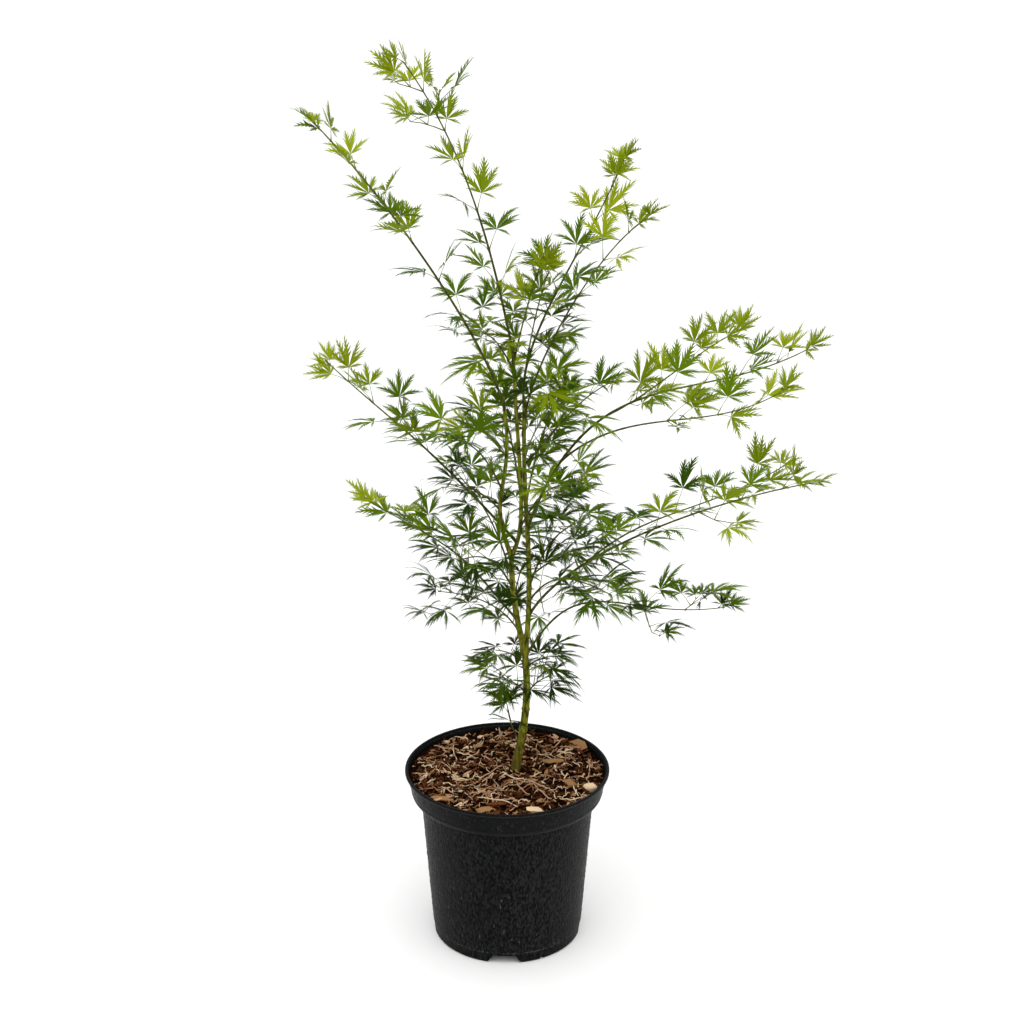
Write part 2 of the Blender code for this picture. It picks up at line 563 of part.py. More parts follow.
def clear_start(limb, parent):
    """The first share of a limb that is clear of the limb it leaves."""
    shares = [i / AXIS_STEPS for i in range(AXIS_STEPS + 1)]
    axis = [(parent.point(t), max(parent.radius(t), TWIG_LEAST)) for t in shares]
    radius = max(limb.radius(0), TWIG_LEAST)
    t = 0.0
    while min((limb.point(t) - point).length - wide for point, wide in axis) < radius + GAP:
        t += START_STEP
    return t


# ---- foliage ---------------------------------------------------------------

class Space:
    """The solids that a new twig or leaf must keep clear of."""

    def __init__(self):
        self.solids = []

    def add(self, tree, box, owner):
        self.solids.append((tree, box, owner))

    def blocker(self, tree, box, skip=()):
        """The owner of the first solid in the way, or None."""
        low, high = box
        for other, (other_low, other_high), owner in self.solids:
            if owner in skip or any(low[i] > other_high[i] or high[i] < other_low[i] for i in range(3)):
                continue
            if tree.overlap(other):
                return owner
        return None


def reserve(space, item):
    """Keeps foliage clear of a finished solid."""
    bm = bmesh.new()
    bm.from_mesh(item.data)
    space.add(BVHTree.FromBMesh(bm), box_of(bm), item.name)
    bm.free()


def box_of(bm):
    low = [min(v.co[i] for v in bm.verts) for i in range(3)]
    high = [max(v.co[i] for v in bm.verts) for i in range(3)]
    return low, high


def lobe_point(root, axis, side, angle, length, droop):
    """A point of a leaf's outline, at an angle from its middle lobe."""
    turn = math.radians(angle)
    return root + (axis * math.cos(turn) + side * math.sin(turn) - UP * droop) * length


def leaf_solid(foot, root, axis, normal, reach, droop, lobes):
    """A cut leaf on its stalk, in one closed mesh. Returns the whole, and a tree of its blade alone."""
    side = normal.cross(axis)
    along = (root - foot).normalized()
    heel = root - along * STALK_RADIUS * HEEL_BACK
    half_heel = side * STALK_RADIUS * HEEL_WIDTH
    outline = [heel + half_heel]
    for i, (angle, share) in enumerate(lobes):
        outline.append(lobe_point(root, axis, side, angle, reach * share, droop))
        if i + 1 < len(lobes):
            next_angle, next_share = lobes[i + 1]
            depth = reach * NOTCH_SHARE * (share + next_share) / 2
            between = (angle + next_angle) / 2
            outline.append(lobe_point(root, axis, side, between, depth, droop * NOTCH_DROOP))
    outline.append(heel - half_heel)

    bm = bmesh.new()
    ring = [bm.verts.new(corner) for corner in outline]
    top = bm.verts.new(root + normal * LEAF_THICKNESS * THICK_ABOVE)
    bottom = bm.verts.new(root - normal * LEAF_THICKNESS * (1 - THICK_ABOVE))
    for first, second in zip(ring, ring[1:]):
        bm.faces.new((top, second, first))
        bm.faces.new((bottom, first, second))
    bm.faces.new((bottom, ring[-1], ring[0]))
    blade = BVHTree.FromBMesh(bm)

    left = (side - along * side.dot(along)).normalized()
    over = along.cross(left)
    turns = [math.radians(degrees) for degrees in STALK_CORNERS]
    stalk_foot = [bm.verts.new(foot + (left * math.cos(a) + over * math.sin(a)) * STALK_RADIUS)
                  for a in turns]
    stalk_top = [ring[0], ring[-1], top]
    for i in range(3):
        j = (i + 1) % 3
        bm.faces.new((stalk_top[i], stalk_top[j], stalk_foot[j], stalk_foot[i]))
    bm.faces.new(stalk_foot)
    bmesh.ops.triangulate(bm, faces=bm.faces)
    return bm, blade


def leaf_pose(rng, age, tip=False):
    """Every random choice for one leaf, drawn at once so that an empty place shifts no other."""
    old = min(max(age + rng.uniform(-AGE_SPREAD, AGE_SPREAD), 0), 1)
    size = YOUNG_SHARE + (1 - YOUNG_SHARE) * old
    stalk = rng.uniform(*STALK_LENGTH) * (STALK_WITH_AGE[0] + STALK_WITH_AGE[1] * old)
    front = FRONT_LEAN[0] + (FRONT_LEAN[1] - FRONT_LEAN[0]) * old
    fan = FAN[0] + (FAN[1] - FAN[0]) * old
    lean = Vector((rng.uniform(-SIDE_LEAN, SIDE_LEAN), rng.uniform(*BACK_LEAN) - front, 0))
    return dict(
        reach=LEAF_REACH * size * rng.uniform(*LEAF_SIZES) * (TIP_SHARE if tip else 1),
        stalk=stalk * (TIP_STALK_SHARE if tip else 1),
        lift=rng.uniform(*LIFT) - LIFT_LOST * old,
        dip=rng.uniform(*DIP) + DIP_WITH_AGE * old,
        lean=lean * (1 - LEAN_LOST * old),
        droop=DROOP + DROOP_WITH_AGE * old + rng.uniform(*DROOP_SPREAD),
        turns=[(rng.uniform(-TRY_YAW, TRY_YAW), rng.uniform(-TRY_PITCH, TRY_PITCH)) for _ in range(TRIES)],
        lobes=[(angle * fan, share) for angle, share in (TIP_LOBES if tip else LOBES)],
    )


def leaf_pair(twig, t, turn, spread, rng, age, tip=False):
    """Two opposite leaves at one joint: the foot, the way out and the pose of each."""
    along = twig.direction(t)
    across = along.cross(UP).normalized() if abs(along.z) < UPRIGHT else Vector((1, 0, 0))
    radial = Matrix.Rotation(turn, 3, along) @ across
    pair = []
    for sign in (1, -1):
        out = (along * math.cos(spread) + radial * sign * math.sin(spread)).normalized()
        pair.append((twig.point(t), out, leaf_pose(rng, age, tip)))
    return pair


def side_twig(foot, out, length, radius):
    """A short twig that leaves its stem and levels out."""
    to = (out + Vector((out.x, out.y, 0)) * SIDE_TWIG_LEVEL).normalized() * length
    row = dict(parent="stem", to=to, leaves=math.degrees(math.asin(out.z)), ends=SIDE_TWIG_ENDS,
               pull=(SIDE_TWIG_PULL, SIDE_TWIG_PULL), radii=(radius, radius * TWIG_TIP_SHARE))
    return Limb("twig", foot, row)


def growth(limb, start, rng):
    """What grows on a stem, joint by joint: a side twig or None, and its leaves."""
    old, young = limb.row["age"]
    steps = [start + (STEM_END - start) * i / STEM_STEPS for i in range(STEM_STEPS + 1)]
    length = sum((limb.point(b) - limb.point(a)).length for a, b in zip(steps, steps[1:]))
    joints = max(1, round(length / limb.row["spacing"]))
    twist = rng.uniform(0, math.pi)
    for i in range(joints):
        share = (i + FIRST_JOINT) / (joints + LAST_JOINT)
        t = start + (STEM_END - start) * share
        age = old + (young - old) * share
        turn = twist + i * math.pi / 2 + rng.uniform(-JOINT_TURN, JOINT_TURN)
        spread = math.radians(rng.uniform(*LEAF_SPREAD) + SPREAD_WITH_AGE * age)
        for foot, out, pose in leaf_pair(limb, t, turn, spread, rng, age):
            radius = max(TWIG_THINNEST, limb.radius(t) * TWIG_SHARE)
            twig = side_twig(foot, out, rng.uniform(*SIDE_TWIG_LENGTH), radius)
            leaves = leaf_pair(twig, *SIDE_MIDDLE, spread, rng, age)
            leaves += leaf_pair(twig, *SIDE_TIP, rng, age, True)
            if rng.random() < SIDE_TWIG_SHARE and joints > SIDE_TWIG_JOINTS:
                yield twig, leaves
            else:
                yield None, [(foot, out, pose)]
    tip = leaf_pair(limb, STEM_END - TIP_BACK / length, 0, TIP_SPREAD, rng, young, True)
    end = limb.direction(STEM_END)
    tip.append((limb.point(STEM_END) - end * STALK_RADIUS, end, leaf_pose(rng, young, True)))
    yield None, tip


def place_leaf(foot, out, pose, space, mass):
    """The first of a few small turns of a leaf that is clear of everything else, or None."""
    for attempt, (yaw, pitch) in enumerate([(0, 0)] + pose["turns"]):
        rise = out.z * TO_LIGHT + pose["lift"] + pitch * TRY_RISE
        along = Vector((out.x, out.y, rise)).normalized()
        along = Matrix.Rotation(yaw, 3, "Z") @ along
        root = foot + along * pose["stalk"] * (1 + TRY_LONGER * attempt)
        axis = (along - UP * pose["dip"]).normalized()
        normal = UP + pose["lean"]
        normal = (normal - axis * normal.dot(axis)).normalized()
        bm, blade = leaf_solid(foot, root, axis, normal, pose["reach"], pose["droop"], pose["lobes"])
        box = box_of(bm)
        whole = BVHTree.FromBMesh(bm)
        own = ((mass, "twig"), (mass, "leaf"))
        above = box[0][2] > SOIL_TOP + GAP
        if above and not space.blocker(blade, box) and not space.blocker(whole, box, own):
            space.add(whole, box, own[1])
            return bm
        bm.free()
    return None


def make_stem(limb, parent, name, green, space):
    """The stem of a mass, 0.3 mm clear of its bough's tip or of the limb it leaves."""
    bare = limb.row["bare"]
    start = bare + GAP / limb.reach.length if bare > 0 else clear_start(limb, parent)
    bm = limb_tube(limb, start, STEM_END, TWIG_SIDES, TWIG_RING)
    tree = BVHTree.FromBMesh(bm)
    blocker = space.blocker(tree, box_of(bm))
    if blocker:
        print("    stem of", name, "runs into", blocker)
    space.add(tree, box_of(bm), (name, "twig"))
    return start, add_object(name, mesh_from(bm, name), green)


def grow_foliage(limb, start, item, space):
    """Fuses side twigs and leaves to the stem of a mass."""
    own = (item.name, "twig")
    pieces = []
    for twig, leaves in growth(limb, start, random.Random(limb.row["seed"])):
        if twig:
            bm = limb_tube(twig, 0, 1, TWIG_SIDES, TWIG_RING)
            tree = BVHTree.FromBMesh(bm)
            box = box_of(bm)
            if space.blocker(tree, box, (own,)):
                bm.free()
                continue
            space.add(tree, box, own)
            pieces.append(add_object("twig", mesh_from(bm, "twig")))
        for foot, out, pose in leaves:
            bm = place_leaf(foot, out, pose, space, item.name)
            if bm:
                pieces.append(add_object("leaf", mesh_from(bm, "leaf")))
    join_by_boolean(item, pieces, "UNION", "MANIFOLD")
    keep_main_body(item.data)
    close_slivers(item.data)
    print(f"    {item.name}: {len(pieces)} leaves and twigs, {len(item.data.polygons)} triangles")


# ---- the whole plant -------------------------------------------------------

def main():
    clear_scene()
    plastic = finish("black plastic", (0.016, 0.016, 0.017), 0.45)
    mulch = finish("bark mulch", (0.080, 0.042, 0.020), 0.9)
    bark = finish("olive bark", (0.110, 0.125, 0.028), 0.6)
    greens = {
        "lime": finish("lime leaf", (0.240, 0.330, 0.030), 0.5),
        "green": finish("green leaf", (0.075, 0.150, 0.022), 0.5),
    }
    space = Space()
    reserve(space, make_pot(plastic))
    reserve(space, make_mulch(mulch))

    limbs = {}
    bare = []
    for name, row in LIMBS.items():
        parent = limbs.get(row["parent"])
        foot = parent.point(row["at"]) if parent else TRUNK_FOOT
        limbs[name] = Limb(name, foot, row)
        if row["bare"] > 0:
            reserve(space, make_limb(limbs[name], bark, bare))
            bare.append(limbs[name])

    masses = []
    for limb in limbs.values():
        if limb.row["bare"] < 1:
            green = greens["lime" if limb.row["age"][1] < LIME_AGE else "green"]
            name = limb.name.rsplit("_", 1)[0] + "_foliage"
            start, stem = make_stem(limb, limbs[limb.row["parent"]], name, green, space)
            masses.append((limb, start, stem))
    for limb, start, stem in masses:
        grow_foliage(limb, start, stem, space)


main()
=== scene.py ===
import json
import math
import random

import bpy
from mathutils import Matrix, Vector, noise
from mathutils.bvhtree import BVHTree

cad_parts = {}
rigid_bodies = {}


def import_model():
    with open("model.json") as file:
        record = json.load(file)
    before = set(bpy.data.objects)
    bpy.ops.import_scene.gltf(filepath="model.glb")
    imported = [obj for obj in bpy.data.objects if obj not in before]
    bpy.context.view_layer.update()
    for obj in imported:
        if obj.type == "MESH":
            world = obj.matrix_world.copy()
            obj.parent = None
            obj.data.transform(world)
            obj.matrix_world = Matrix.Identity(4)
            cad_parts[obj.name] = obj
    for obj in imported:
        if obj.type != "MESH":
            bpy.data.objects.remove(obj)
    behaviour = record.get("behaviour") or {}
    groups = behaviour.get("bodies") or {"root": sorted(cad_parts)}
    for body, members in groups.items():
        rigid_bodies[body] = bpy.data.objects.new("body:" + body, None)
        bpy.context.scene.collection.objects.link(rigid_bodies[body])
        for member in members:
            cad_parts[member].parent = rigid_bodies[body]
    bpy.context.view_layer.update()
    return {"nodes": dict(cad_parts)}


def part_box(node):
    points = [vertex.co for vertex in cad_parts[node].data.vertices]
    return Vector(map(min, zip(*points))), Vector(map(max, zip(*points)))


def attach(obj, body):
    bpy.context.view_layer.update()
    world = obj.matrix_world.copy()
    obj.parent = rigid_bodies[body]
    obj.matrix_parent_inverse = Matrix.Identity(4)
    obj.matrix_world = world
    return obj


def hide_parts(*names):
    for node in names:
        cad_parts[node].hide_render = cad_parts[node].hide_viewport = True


# A young Japanese maple with finely cut leaves, in a black nursery pot full of bark mulch.
# Metres, +Z up, the front is -Y. The limbs and the rule by which the leaves stand are those of
# the solids. Here the leaves get their teeth, the stems their bark and the pot its thin wall.

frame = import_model()
potLow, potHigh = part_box("pot")
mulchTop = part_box("bark_mulch")[1].z
potHeight = potHigh.z
rimRadius = (potHigh.x - potLow.x) / 2
up = Vector((0, 0, 1))
gap = 0.0003             # clearance between two limbs of the solids
trunkAt = (0.011, 0.006) # where the trunk stands on the mulch


def between(ends, share):
    return ends[0] + (ends[1] - ends[0]) * share


def clamp(value):
    return min(max(value, 0), 1)


def evenly(start, end, steps):
    return [start + (end - start) * i / steps for i in range(steps + 1)]


def turnsOf(count):
    return [2 * math.pi * i / count for i in range(count)]


def stray(rng, most):
    return rng.uniform(-most, most)


# ways to build meshes

class Heap:
    # corners and faces of many small things that become one mesh
    def __init__(self):
        self.corners = []
        self.faces = []
        self.triangles = 0

    def add(self, corners, faces):
        first = len(self.corners)
        self.corners.extend(corners)
        self.faces.extend([first + i for i in face] for face in faces)
        self.triangles += sum(len(face) - 2 for face in faces)


def addObject(name, data):
    item = bpy.data.objects.new(name, data)
    bpy.context.scene.collection.objects.link(item)
    return item


def makePiece(name, heap, material, slot, nodes=(), sharpDegrees=None):
    mesh = bpy.data.meshes.new(name)
    mesh.from_pydata(heap.corners, [], heap.faces)
    mesh.materials.append(material)
    mesh.shade_smooth()
    if sharpDegrees is not None:
        mesh.set_sharp_from_angle(angle=math.radians(sharpDegrees))
    piece = addObject(name, mesh)
    print(f"  {name}: {heap.triangles} triangles")
    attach(piece, "root")
    if nodes:
        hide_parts(*sorted(set(nodes)))
    return piece


def wallFaces(rings, count, first=0):
    # the faces between rings of corners that follow one another
    faces = []
    for i in range(rings - 1):
        for j in range(count):
            low = first + i * count + j
            beside = first + i * count + (j + 1) % count
            faces.append((low, beside, beside + count, low + count))
    return faces


def capFaces(rings, count):
    return [tuple(range(count))[::-1], tuple(range((rings - 1) * count, rings * count))]


def sidesAlong(directions):
    # a sideways vector for each direction of a path, turned as little as possible along it
    start = Vector((0, 1, 0)) if abs(directions[0].y) < 0.9 else Vector((1, 0, 0))
    side = (start - directions[0] * start.dot(directions[0])).normalized()
    sides = [side]
    for before, after in zip(directions, directions[1:]):
        side = before.rotation_difference(after) @ side
        side = (side - after * side.dot(after)).normalized()
        sides.append(side)
    return sides


def addTube(heap, points, directions, radii, count, relief=None):
    # relief gives a factor for the radius from the ring's number and the angle round it
    corners = []
    for i, (point, along, side) in enumerate(zip(points, directions, sidesAlong(directions))):
        other = along.cross(side)
        for turn in turnsOf(count):
            radius = radii[i] * (relief(i, turn) if relief else 1)
            corners.append(point + (side * math.cos(turn) + other * math.sin(turn)) * radius)
    heap.add(corners, wallFaces(len(points), count) + capFaces(len(points), count))


def addCurve(heap, points, radii, count):
    # a tube whose directions follow from its points
    padded = [points[0], *points, points[-1]]
    directions = [(after - before).normalized() for before, after in zip(padded, padded[2:])]
    addTube(heap, points, directions, radii, count)


# ways to make materials: each helper takes and returns outputs of nodes

def feed(socket, value):
    # value is a number, a colour or the output of another node
    if isinstance(value, bpy.types.NodeSocket):
        socket.id_data.links.new(value, socket)
    else:
        socket.default_value = value


def addNode(tree, kind, **values):
    node = tree.nodes.new("ShaderNode" + kind)
    for name, value in values.items():
        if name in node.inputs:
            feed(node.inputs[name], value)
        else:
            setattr(node, name, value)
    return node


def grainOn(tree, scale, stretch=(1, 1, 1), detail=4):
    # noise in the object's own space, stretched along its axes
    place = addNode(tree, "TexCoord").outputs["Object"]
    place = addNode(tree, "Mapping", Vector=place, Scale=stretch).outputs["Vector"]
    return addNode(tree, "TexNoise", Vector=place, Scale=scale, Detail=detail).outputs["Fac"]


def heightOn(tree, space="Object"):
    return addNode(tree, "SeparateXYZ", Vector=addNode(tree, "TexCoord").outputs[space]).outputs["Z"]


def spread(source, low, high, fromLow=0.3, fromHigh=0.7):
    node = addNode(source.id_data, "MapRange", Value=source)
    for name, value in (("From Min", fromLow), ("From Max", fromHigh), ("To Min", low), ("To Max", high)):
        node.inputs[name].default_value = value
    return node.outputs["Result"]


def ramp(source, stops):
    node = addNode(source.id_data, "ValToRGB", Fac=source)
    elements = node.color_ramp.elements
    elements[0].position = stops[0][0]
    elements[1].position = stops[-1][0]
    for place, _ in stops[1:-1]:
        elements.new(place)
    for element, (_, colour) in zip(elements, stops):
        element.color = (*colour, 1)
    return node.outputs["Color"]


def mixed(factor, first, second, **kind):
    return addNode(first.id_data, "Mix", **kind, Factor=factor, A=first, B=second).outputs["Result"]


def newMaterial(name, colour, gloss, rough, scale, stretch=(1, 1, 1), detail=4):
    # rough: a plain roughness, and the two that a fine grain gives; also returns the shader and the grain
    material = bpy.data.materials.new(name)
    material.use_nodes = True
    shader = material.node_tree.nodes["Principled BSDF"].inputs
    feed(shader["Base Color"], (*colour, 1))
    feed(shader["Specular IOR Level"], gloss)
    feed(shader["Roughness"], rough[0])
    grain = grainOn(material.node_tree, scale, stretch, detail)
    feed(shader["Roughness"], spread(grain, *rough[1:]))
    return material, shader, grain


def addBump(shader, grain, strength, distance):
    bump = addNode(grain.id_data, "Bump", Strength=strength, Distance=distance, Height=grain)
    feed(shader["Normal"], bump.outputs["Normal"])


# the camera, the light and the floor

studio = {
    "cameraAt": (0.0066, -2.4, 1.4725),
    "cameraDown": 19.6,          # degrees below level
    "lens": 68.5,
    "farthest": 200,
    "skyTop": 1.52,              # brightness straight above
    "skyLevel": 0.62,            # brightness at the horizon
    "lights": {                  # place, size, strength
        "key": ((-0.3, -2.0, 4.2), 2.8, 42),
        "fill": ((2.6, -1.6, 1.6), 2.0, 8),
    },
    "lightAim": (0, 0, 0.6),
    "floorHalf": 40,
    "floorColour": (0.94, 0.94, 0.935),
}


def makeStudio():
    scene = bpy.context.scene
    lens = bpy.data.cameras.new("camera")
    lens.lens = studio["lens"]
    lens.clip_end = studio["farthest"]
    camera = addObject("camera", lens)
    camera.location = studio["cameraAt"]
    camera.rotation_euler = (math.radians(90 - studio["cameraDown"]), 0, 0)
    scene.camera = camera
    scene.view_settings.view_transform = "Standard"

    world = bpy.data.worlds.new("softbox")
    world.use_nodes = True
    tree = world.node_tree
    sky = spread(heightOn(tree, "Generated"), studio["skyLevel"], studio["skyTop"], 0, 1)
    seen = addNode(tree, "LightPath").outputs["Is Camera Ray"]
    paint = tree.nodes["Background"].inputs
    feed(paint["Color"], (1, 1, 1, 1))
    feed(paint["Strength"], mixed(seen, sky, 1))     # behind the plant the paper is plain white
    scene.world = world
    for name, (place, size, strength) in studio["lights"].items():
        light = bpy.data.lights.new(name, "AREA")
        light.size = size
        light.energy = strength
        lamp = addObject(name, light)
        lamp.location = place
        aim = Vector(studio["lightAim"]) - Vector(place)
        lamp.rotation_euler = aim.to_track_quat("-Z", "Y").to_euler()

    half = studio["floorHalf"]
    corners = [(-half, -half, 0), (half, -half, 0), (half, half, 0), (-half, half, 0)]
    mesh = bpy.data.meshes.new("floor")
    mesh.from_pydata(corners, [], [(0, 1, 2, 3)])
    paper = newMaterial("paperFloor", studio["floorColour"], gloss=0.5, rough=(0.9, 0.85, 0.95), scale=30)[0]
    mesh.materials.append(paper)
    floor = addObject("floor", mesh)


makeStudio()
print("studio done")


# the pot: a thin turned wall with a rolled lip, and a foot cut by drain notches

pot = {
    "sides": 168,
    "lip": 0.0042,               # width of the rolled lip
    "lipHeight": 0.0040,
    "lipRound": 0.0013,
    "collarTop": 0.1365,
    "collarLow": 0.1306,
    "collarHeight": 0.036,
    "shoulder": 0.006,
    "shoulderRound": 0.0016,
    "wallTop": 0.1183,
    "wallRows": 22,
    "base": 0.1028,
    "chamfer": 0.0022,
    "thick": 0.0017,
    "footLine": 0.0160,          # height of the fine step above the foot
    "footStep": 0.0006,
    "collarLine": 0.0050,        # a faint moulded line above the collar's lower edge
    "lineHalf": 0.0005,
    "lineOut": 0.0003,
    "floor": 0.0030,
    "ring": 0.076,               # the foot's inner edge
    "ringTop": 0.0155,
    "notches": 4,                # wide drain notches, with a small slot beside each
    "notchTurn": -2.3,           # degrees by which the first one is off the front
    "notchTop": 0.031,
    "notchFoot": 0.047,
    "notchHeight": 0.0125,
    "slotTurn": 30,
    "slotWidth": 0.006,
    "slotHeight": 0.004,
    "innerCollar": 0.004,        # where the inner face leaves the collar, above its lower edge
    "sharp": 32,                 # degrees from which an edge is sharp
}
lipFoot = potHeight - pot["lipHeight"]
collarFoot = potHeight - pot["collarHeight"]
wallEnd = collarFoot - pot["shoulder"]
potFace = (                      # from a height on, over a distance, the radius goes from one to another
    (collarFoot, pot["collarHeight"] - pot["lipHeight"], (pot["collarLow"], pot["collarTop"])),
    (wallEnd, pot["shoulder"], (pot["wallTop"], pot["collarLow"])),
    (pot["chamfer"], wallEnd - pot["chamfer"], (pot["base"], pot["wallTop"])),
)


def potRadius(height):
    # the outer face of the pot at a height
    low, rise, ends = next((row for row in potFace if height > row[0]), potFace[-1])
    return between(ends, clamp((height - low) / rise))


def turnedHeap(profile, sides):
    # spins a line of (radius, height) points, whose ends may lie on the axis
    heap = Heap()
    corners, rings = [], []
    for radius, height in profile:
        if radius == 0:
            rings.append([len(corners)] * sides)
            corners.append(Vector((0, 0, height)))
            continue
        rings.append([len(corners) + j for j in range(sides)])
        for turn in turnsOf(sides):
            corners.append(Vector((radius * math.cos(turn), radius * math.sin(turn), height)))
    faces = []
    for low, high in zip(rings, rings[1:]):
        for j in range(sides):
            face = (low[j], low[(j + 1) % sides], high[(j + 1) % sides], high[j])
            faces.append(tuple(dict.fromkeys(face)))
    heap.add(corners, faces)
    return heap


def potProfile():
    # up the outer face, over the lip and down the inner face
    line, step, bend, small = pot["footLine"], pot["footStep"], pot["shoulderRound"], pot["lipRound"]
    profile = [(0, 0), (pot["base"] - pot["chamfer"] - step, 0), (pot["base"] - step, pot["chamfer"])]
    profile += [(potRadius(line) - step, line), (potRadius(line), line + step)]
    profile += [(potRadius(height), height) for height in evenly(line + step, wallEnd, pot["wallRows"])[1:]]
    profile += [(pot["collarLow"] - bend, collarFoot - bend * 0.4), (pot["collarLow"], collarFoot + bend)]
    line = collarFoot + pot["collarLine"]
    lineTop = line + 2 * pot["lineHalf"]
    profile += [(potRadius(line), line), (potRadius(line) + pot["lineOut"], line + pot["lineHalf"])]
    profile += [(potRadius(line), lineTop)]
    profile += [(potRadius(height), height) for height in evenly(lineTop, lipFoot, 6)[1:]]
    profile += [(rimRadius - small * 0.6, lipFoot - small * 0.3), (rimRadius, lipFoot + small * 0.5)]
    high = potHeight - small
    for turn in evenly(0, math.pi / 2, 4):           # the rolled top of the lip
        profile.append((rimRadius - small * (1 - math.cos(turn)), high + small * math.sin(turn)))
    inner = rimRadius - pot["lip"]
    for turn in evenly(0, math.pi / 2, 3):
        profile.append((inner + small * (1 - math.sin(turn)), high + small * math.cos(turn)))
    for height in (lipFoot, collarFoot + pot["innerCollar"], wallEnd, pot["ringTop"]):
        profile.append((potRadius(height) - pot["thick"], height))
    return profile + [(pot["ring"], pot["ringTop"]), (pot["ring"], pot["floor"]), (0, pot["floor"])]


def addCutter(group, degrees, topWidth, footWidth, height):
    # a wedge through the foot, as wide as given at its upper edge and on the ground
    turn = Matrix.Rotation(math.radians(degrees), 3, "Z")
    near = pot["ring"] + pot["thick"]
    far = rimRadius + 0.01
    corners = []
    for level, width in ((-height, 2 * footWidth - topWidth), (height, topWidth)):
        for x, y in ((near, -1), (far, -1), (far, 1), (near, 1)):
            corners.append(turn @ Vector((x, y * width / 2, level)))
    mesh = bpy.data.meshes.new("notch")
    mesh.from_pydata(corners, [], capFaces(2, 4) + wallFaces(2, 4))
    group.objects.link(bpy.data.objects.new("notch", mesh))


def cutNotches(shell):
    group = bpy.data.collections.new("notches")
    bpy.context.scene.collection.children.link(group)
    for i in range(pot["notches"]):
        degrees = pot["notchTurn"] - 90 + 360 * i / pot["notches"]
        addCutter(group, degrees, pot["notchTop"], pot["notchFoot"], pot["notchHeight"])
        addCutter(group, degrees + pot["slotTurn"], pot["slotWidth"], pot["slotWidth"], pot["slotHeight"])
    cut = shell.modifiers.new("notches", "BOOLEAN")
    cut.operation = "DIFFERENCE"
    cut.operand_type = "COLLECTION"
    cut.collection = group
    cut.solver = "EXACT"
    depsgraph = bpy.context.evaluated_depsgraph_get()
    result = bpy.data.meshes.new_from_object(shell.evaluated_get(depsgraph))
    shell.modifiers.clear()
    shell.data = result
    for cutter in list(group.objects):
        bpy.data.objects.remove(cutter, do_unlink=True)
    bpy.data.collections.remove(group)


plastic = {
    "colour": (0.008, 0.008, 0.009),
    "gloss": 0.045,
    "rough": (0.42, 0.26, 0.55),
    "dust": [(0.30, (0.0022, 0.0026, 0.0025)), (0.75, (0.0066, 0.0072, 0.0069))],
    "streaks": [(0.43, (0.06, 0.06, 0.06)), (0.63, (2.90, 2.90, 2.83))],
    "streakDepth": 0.0024,
    "collarGrain": 0.30,         # share of the streaks that the collar shows
    "collarFade": 0.002,
    "paintedHighlights": {                  # painted highlights, paler bands where light catches the moulded edges: height, and how much paler
        "foot": (pot["footLine"], 8.0),
        "collar": (collarFoot + 0.0008, 5.5),
        "lip": (lipFoot + 0.0006, 6.0),
    },
    "highlightHalf": 0.0009,
}


# painted highlights: thin paler bands of base colour at the foot line, the collar's lower edge and the lip
def paintedEdgeHighlights(height):
    plain = (1, 1, 1)
    half = plastic["highlightHalf"]
    stops = [(0, plain)]
    for middle, paler in plastic["paintedHighlights"].values():
        stops.append(((middle - half) / potHeight, plain))
        stops.append((middle / potHeight, (paler, paler, paler)))
        stops.append(((middle + half) / potHeight, plain))
    return ramp(spread(height, 0, 1, 0, potHeight), stops + [(1, plain)])


def potPlastic():
    # black plastic with fine dirt that has run down it in streaks, and painted highlights along its moulded
    # edges
    material, shader, streaks = newMaterial("blackPlastic", plastic["colour"], plastic["gloss"],
                                            plastic["rough"], scale=400, stretch=(1, 1, 0.40), detail=6)
    height = heightOn(material.node_tree)
    fade = plastic["collarFade"]
    grained = spread(height, 1, plastic["collarGrain"], collarFoot - fade, collarFoot + fade)
    dust = ramp(grainOn(material.node_tree, scale=7, stretch=(1, 1, 0.35), detail=6), plastic["dust"])
    multiply = dict(data_type="RGBA", blend_type="MULTIPLY")
    lined = mixed(grained, dust, ramp(streaks, plastic["streaks"]), **multiply)
    # the base colour is multiplied by the painted highlight bands at the edges
    feed(shader["Base Color"], mixed(1, lined, paintedEdgeHighlights(height), **multiply))
    addBump(shader, streaks, grained, plastic["streakDepth"])
    return material


def makePot():
    heap = turnedHeap(potProfile(), pot["sides"])
    shell = makePiece("potShell", heap, potPlastic(), "plastic", ["pot"])
    cutNotches(shell)
    shell.data.shade_smooth()
    shell.data.set_sharp_from_angle(angle=math.radians(pot["sharp"]))


makePot()


# wet specks and fine streaks of dirt on the pot's outer face

specks = {
    "count": 3600,
    "half": (0.0004, 0.0013),    # half their width
    "smaller": (0.6, 1),
    "longer": (1.2, 3.8),        # length against width
    "bulge": 0.60,               # height against half the width
    "sink": 0.00005,             # how deep their edges lie in the wall
    "taper": 0.35,               # how much narrower the upper end is
    "lowest": pot["footLine"] + 0.002,
    "highest": lipFoot - 0.004,
    "lower": 1.25,               # above 1, more of them are low
    "shoulderClear": 0.008,
    "paleShare": 0.10,           # dry pale specks, low on the pot
    "paleBelow": 0.11,
    "looks": {"potSpecks": (0.002, 0.20), "potDust": (0.045, 0.10)},     # grey, gloss
    "rows": 8,
    "seed": 11,
}


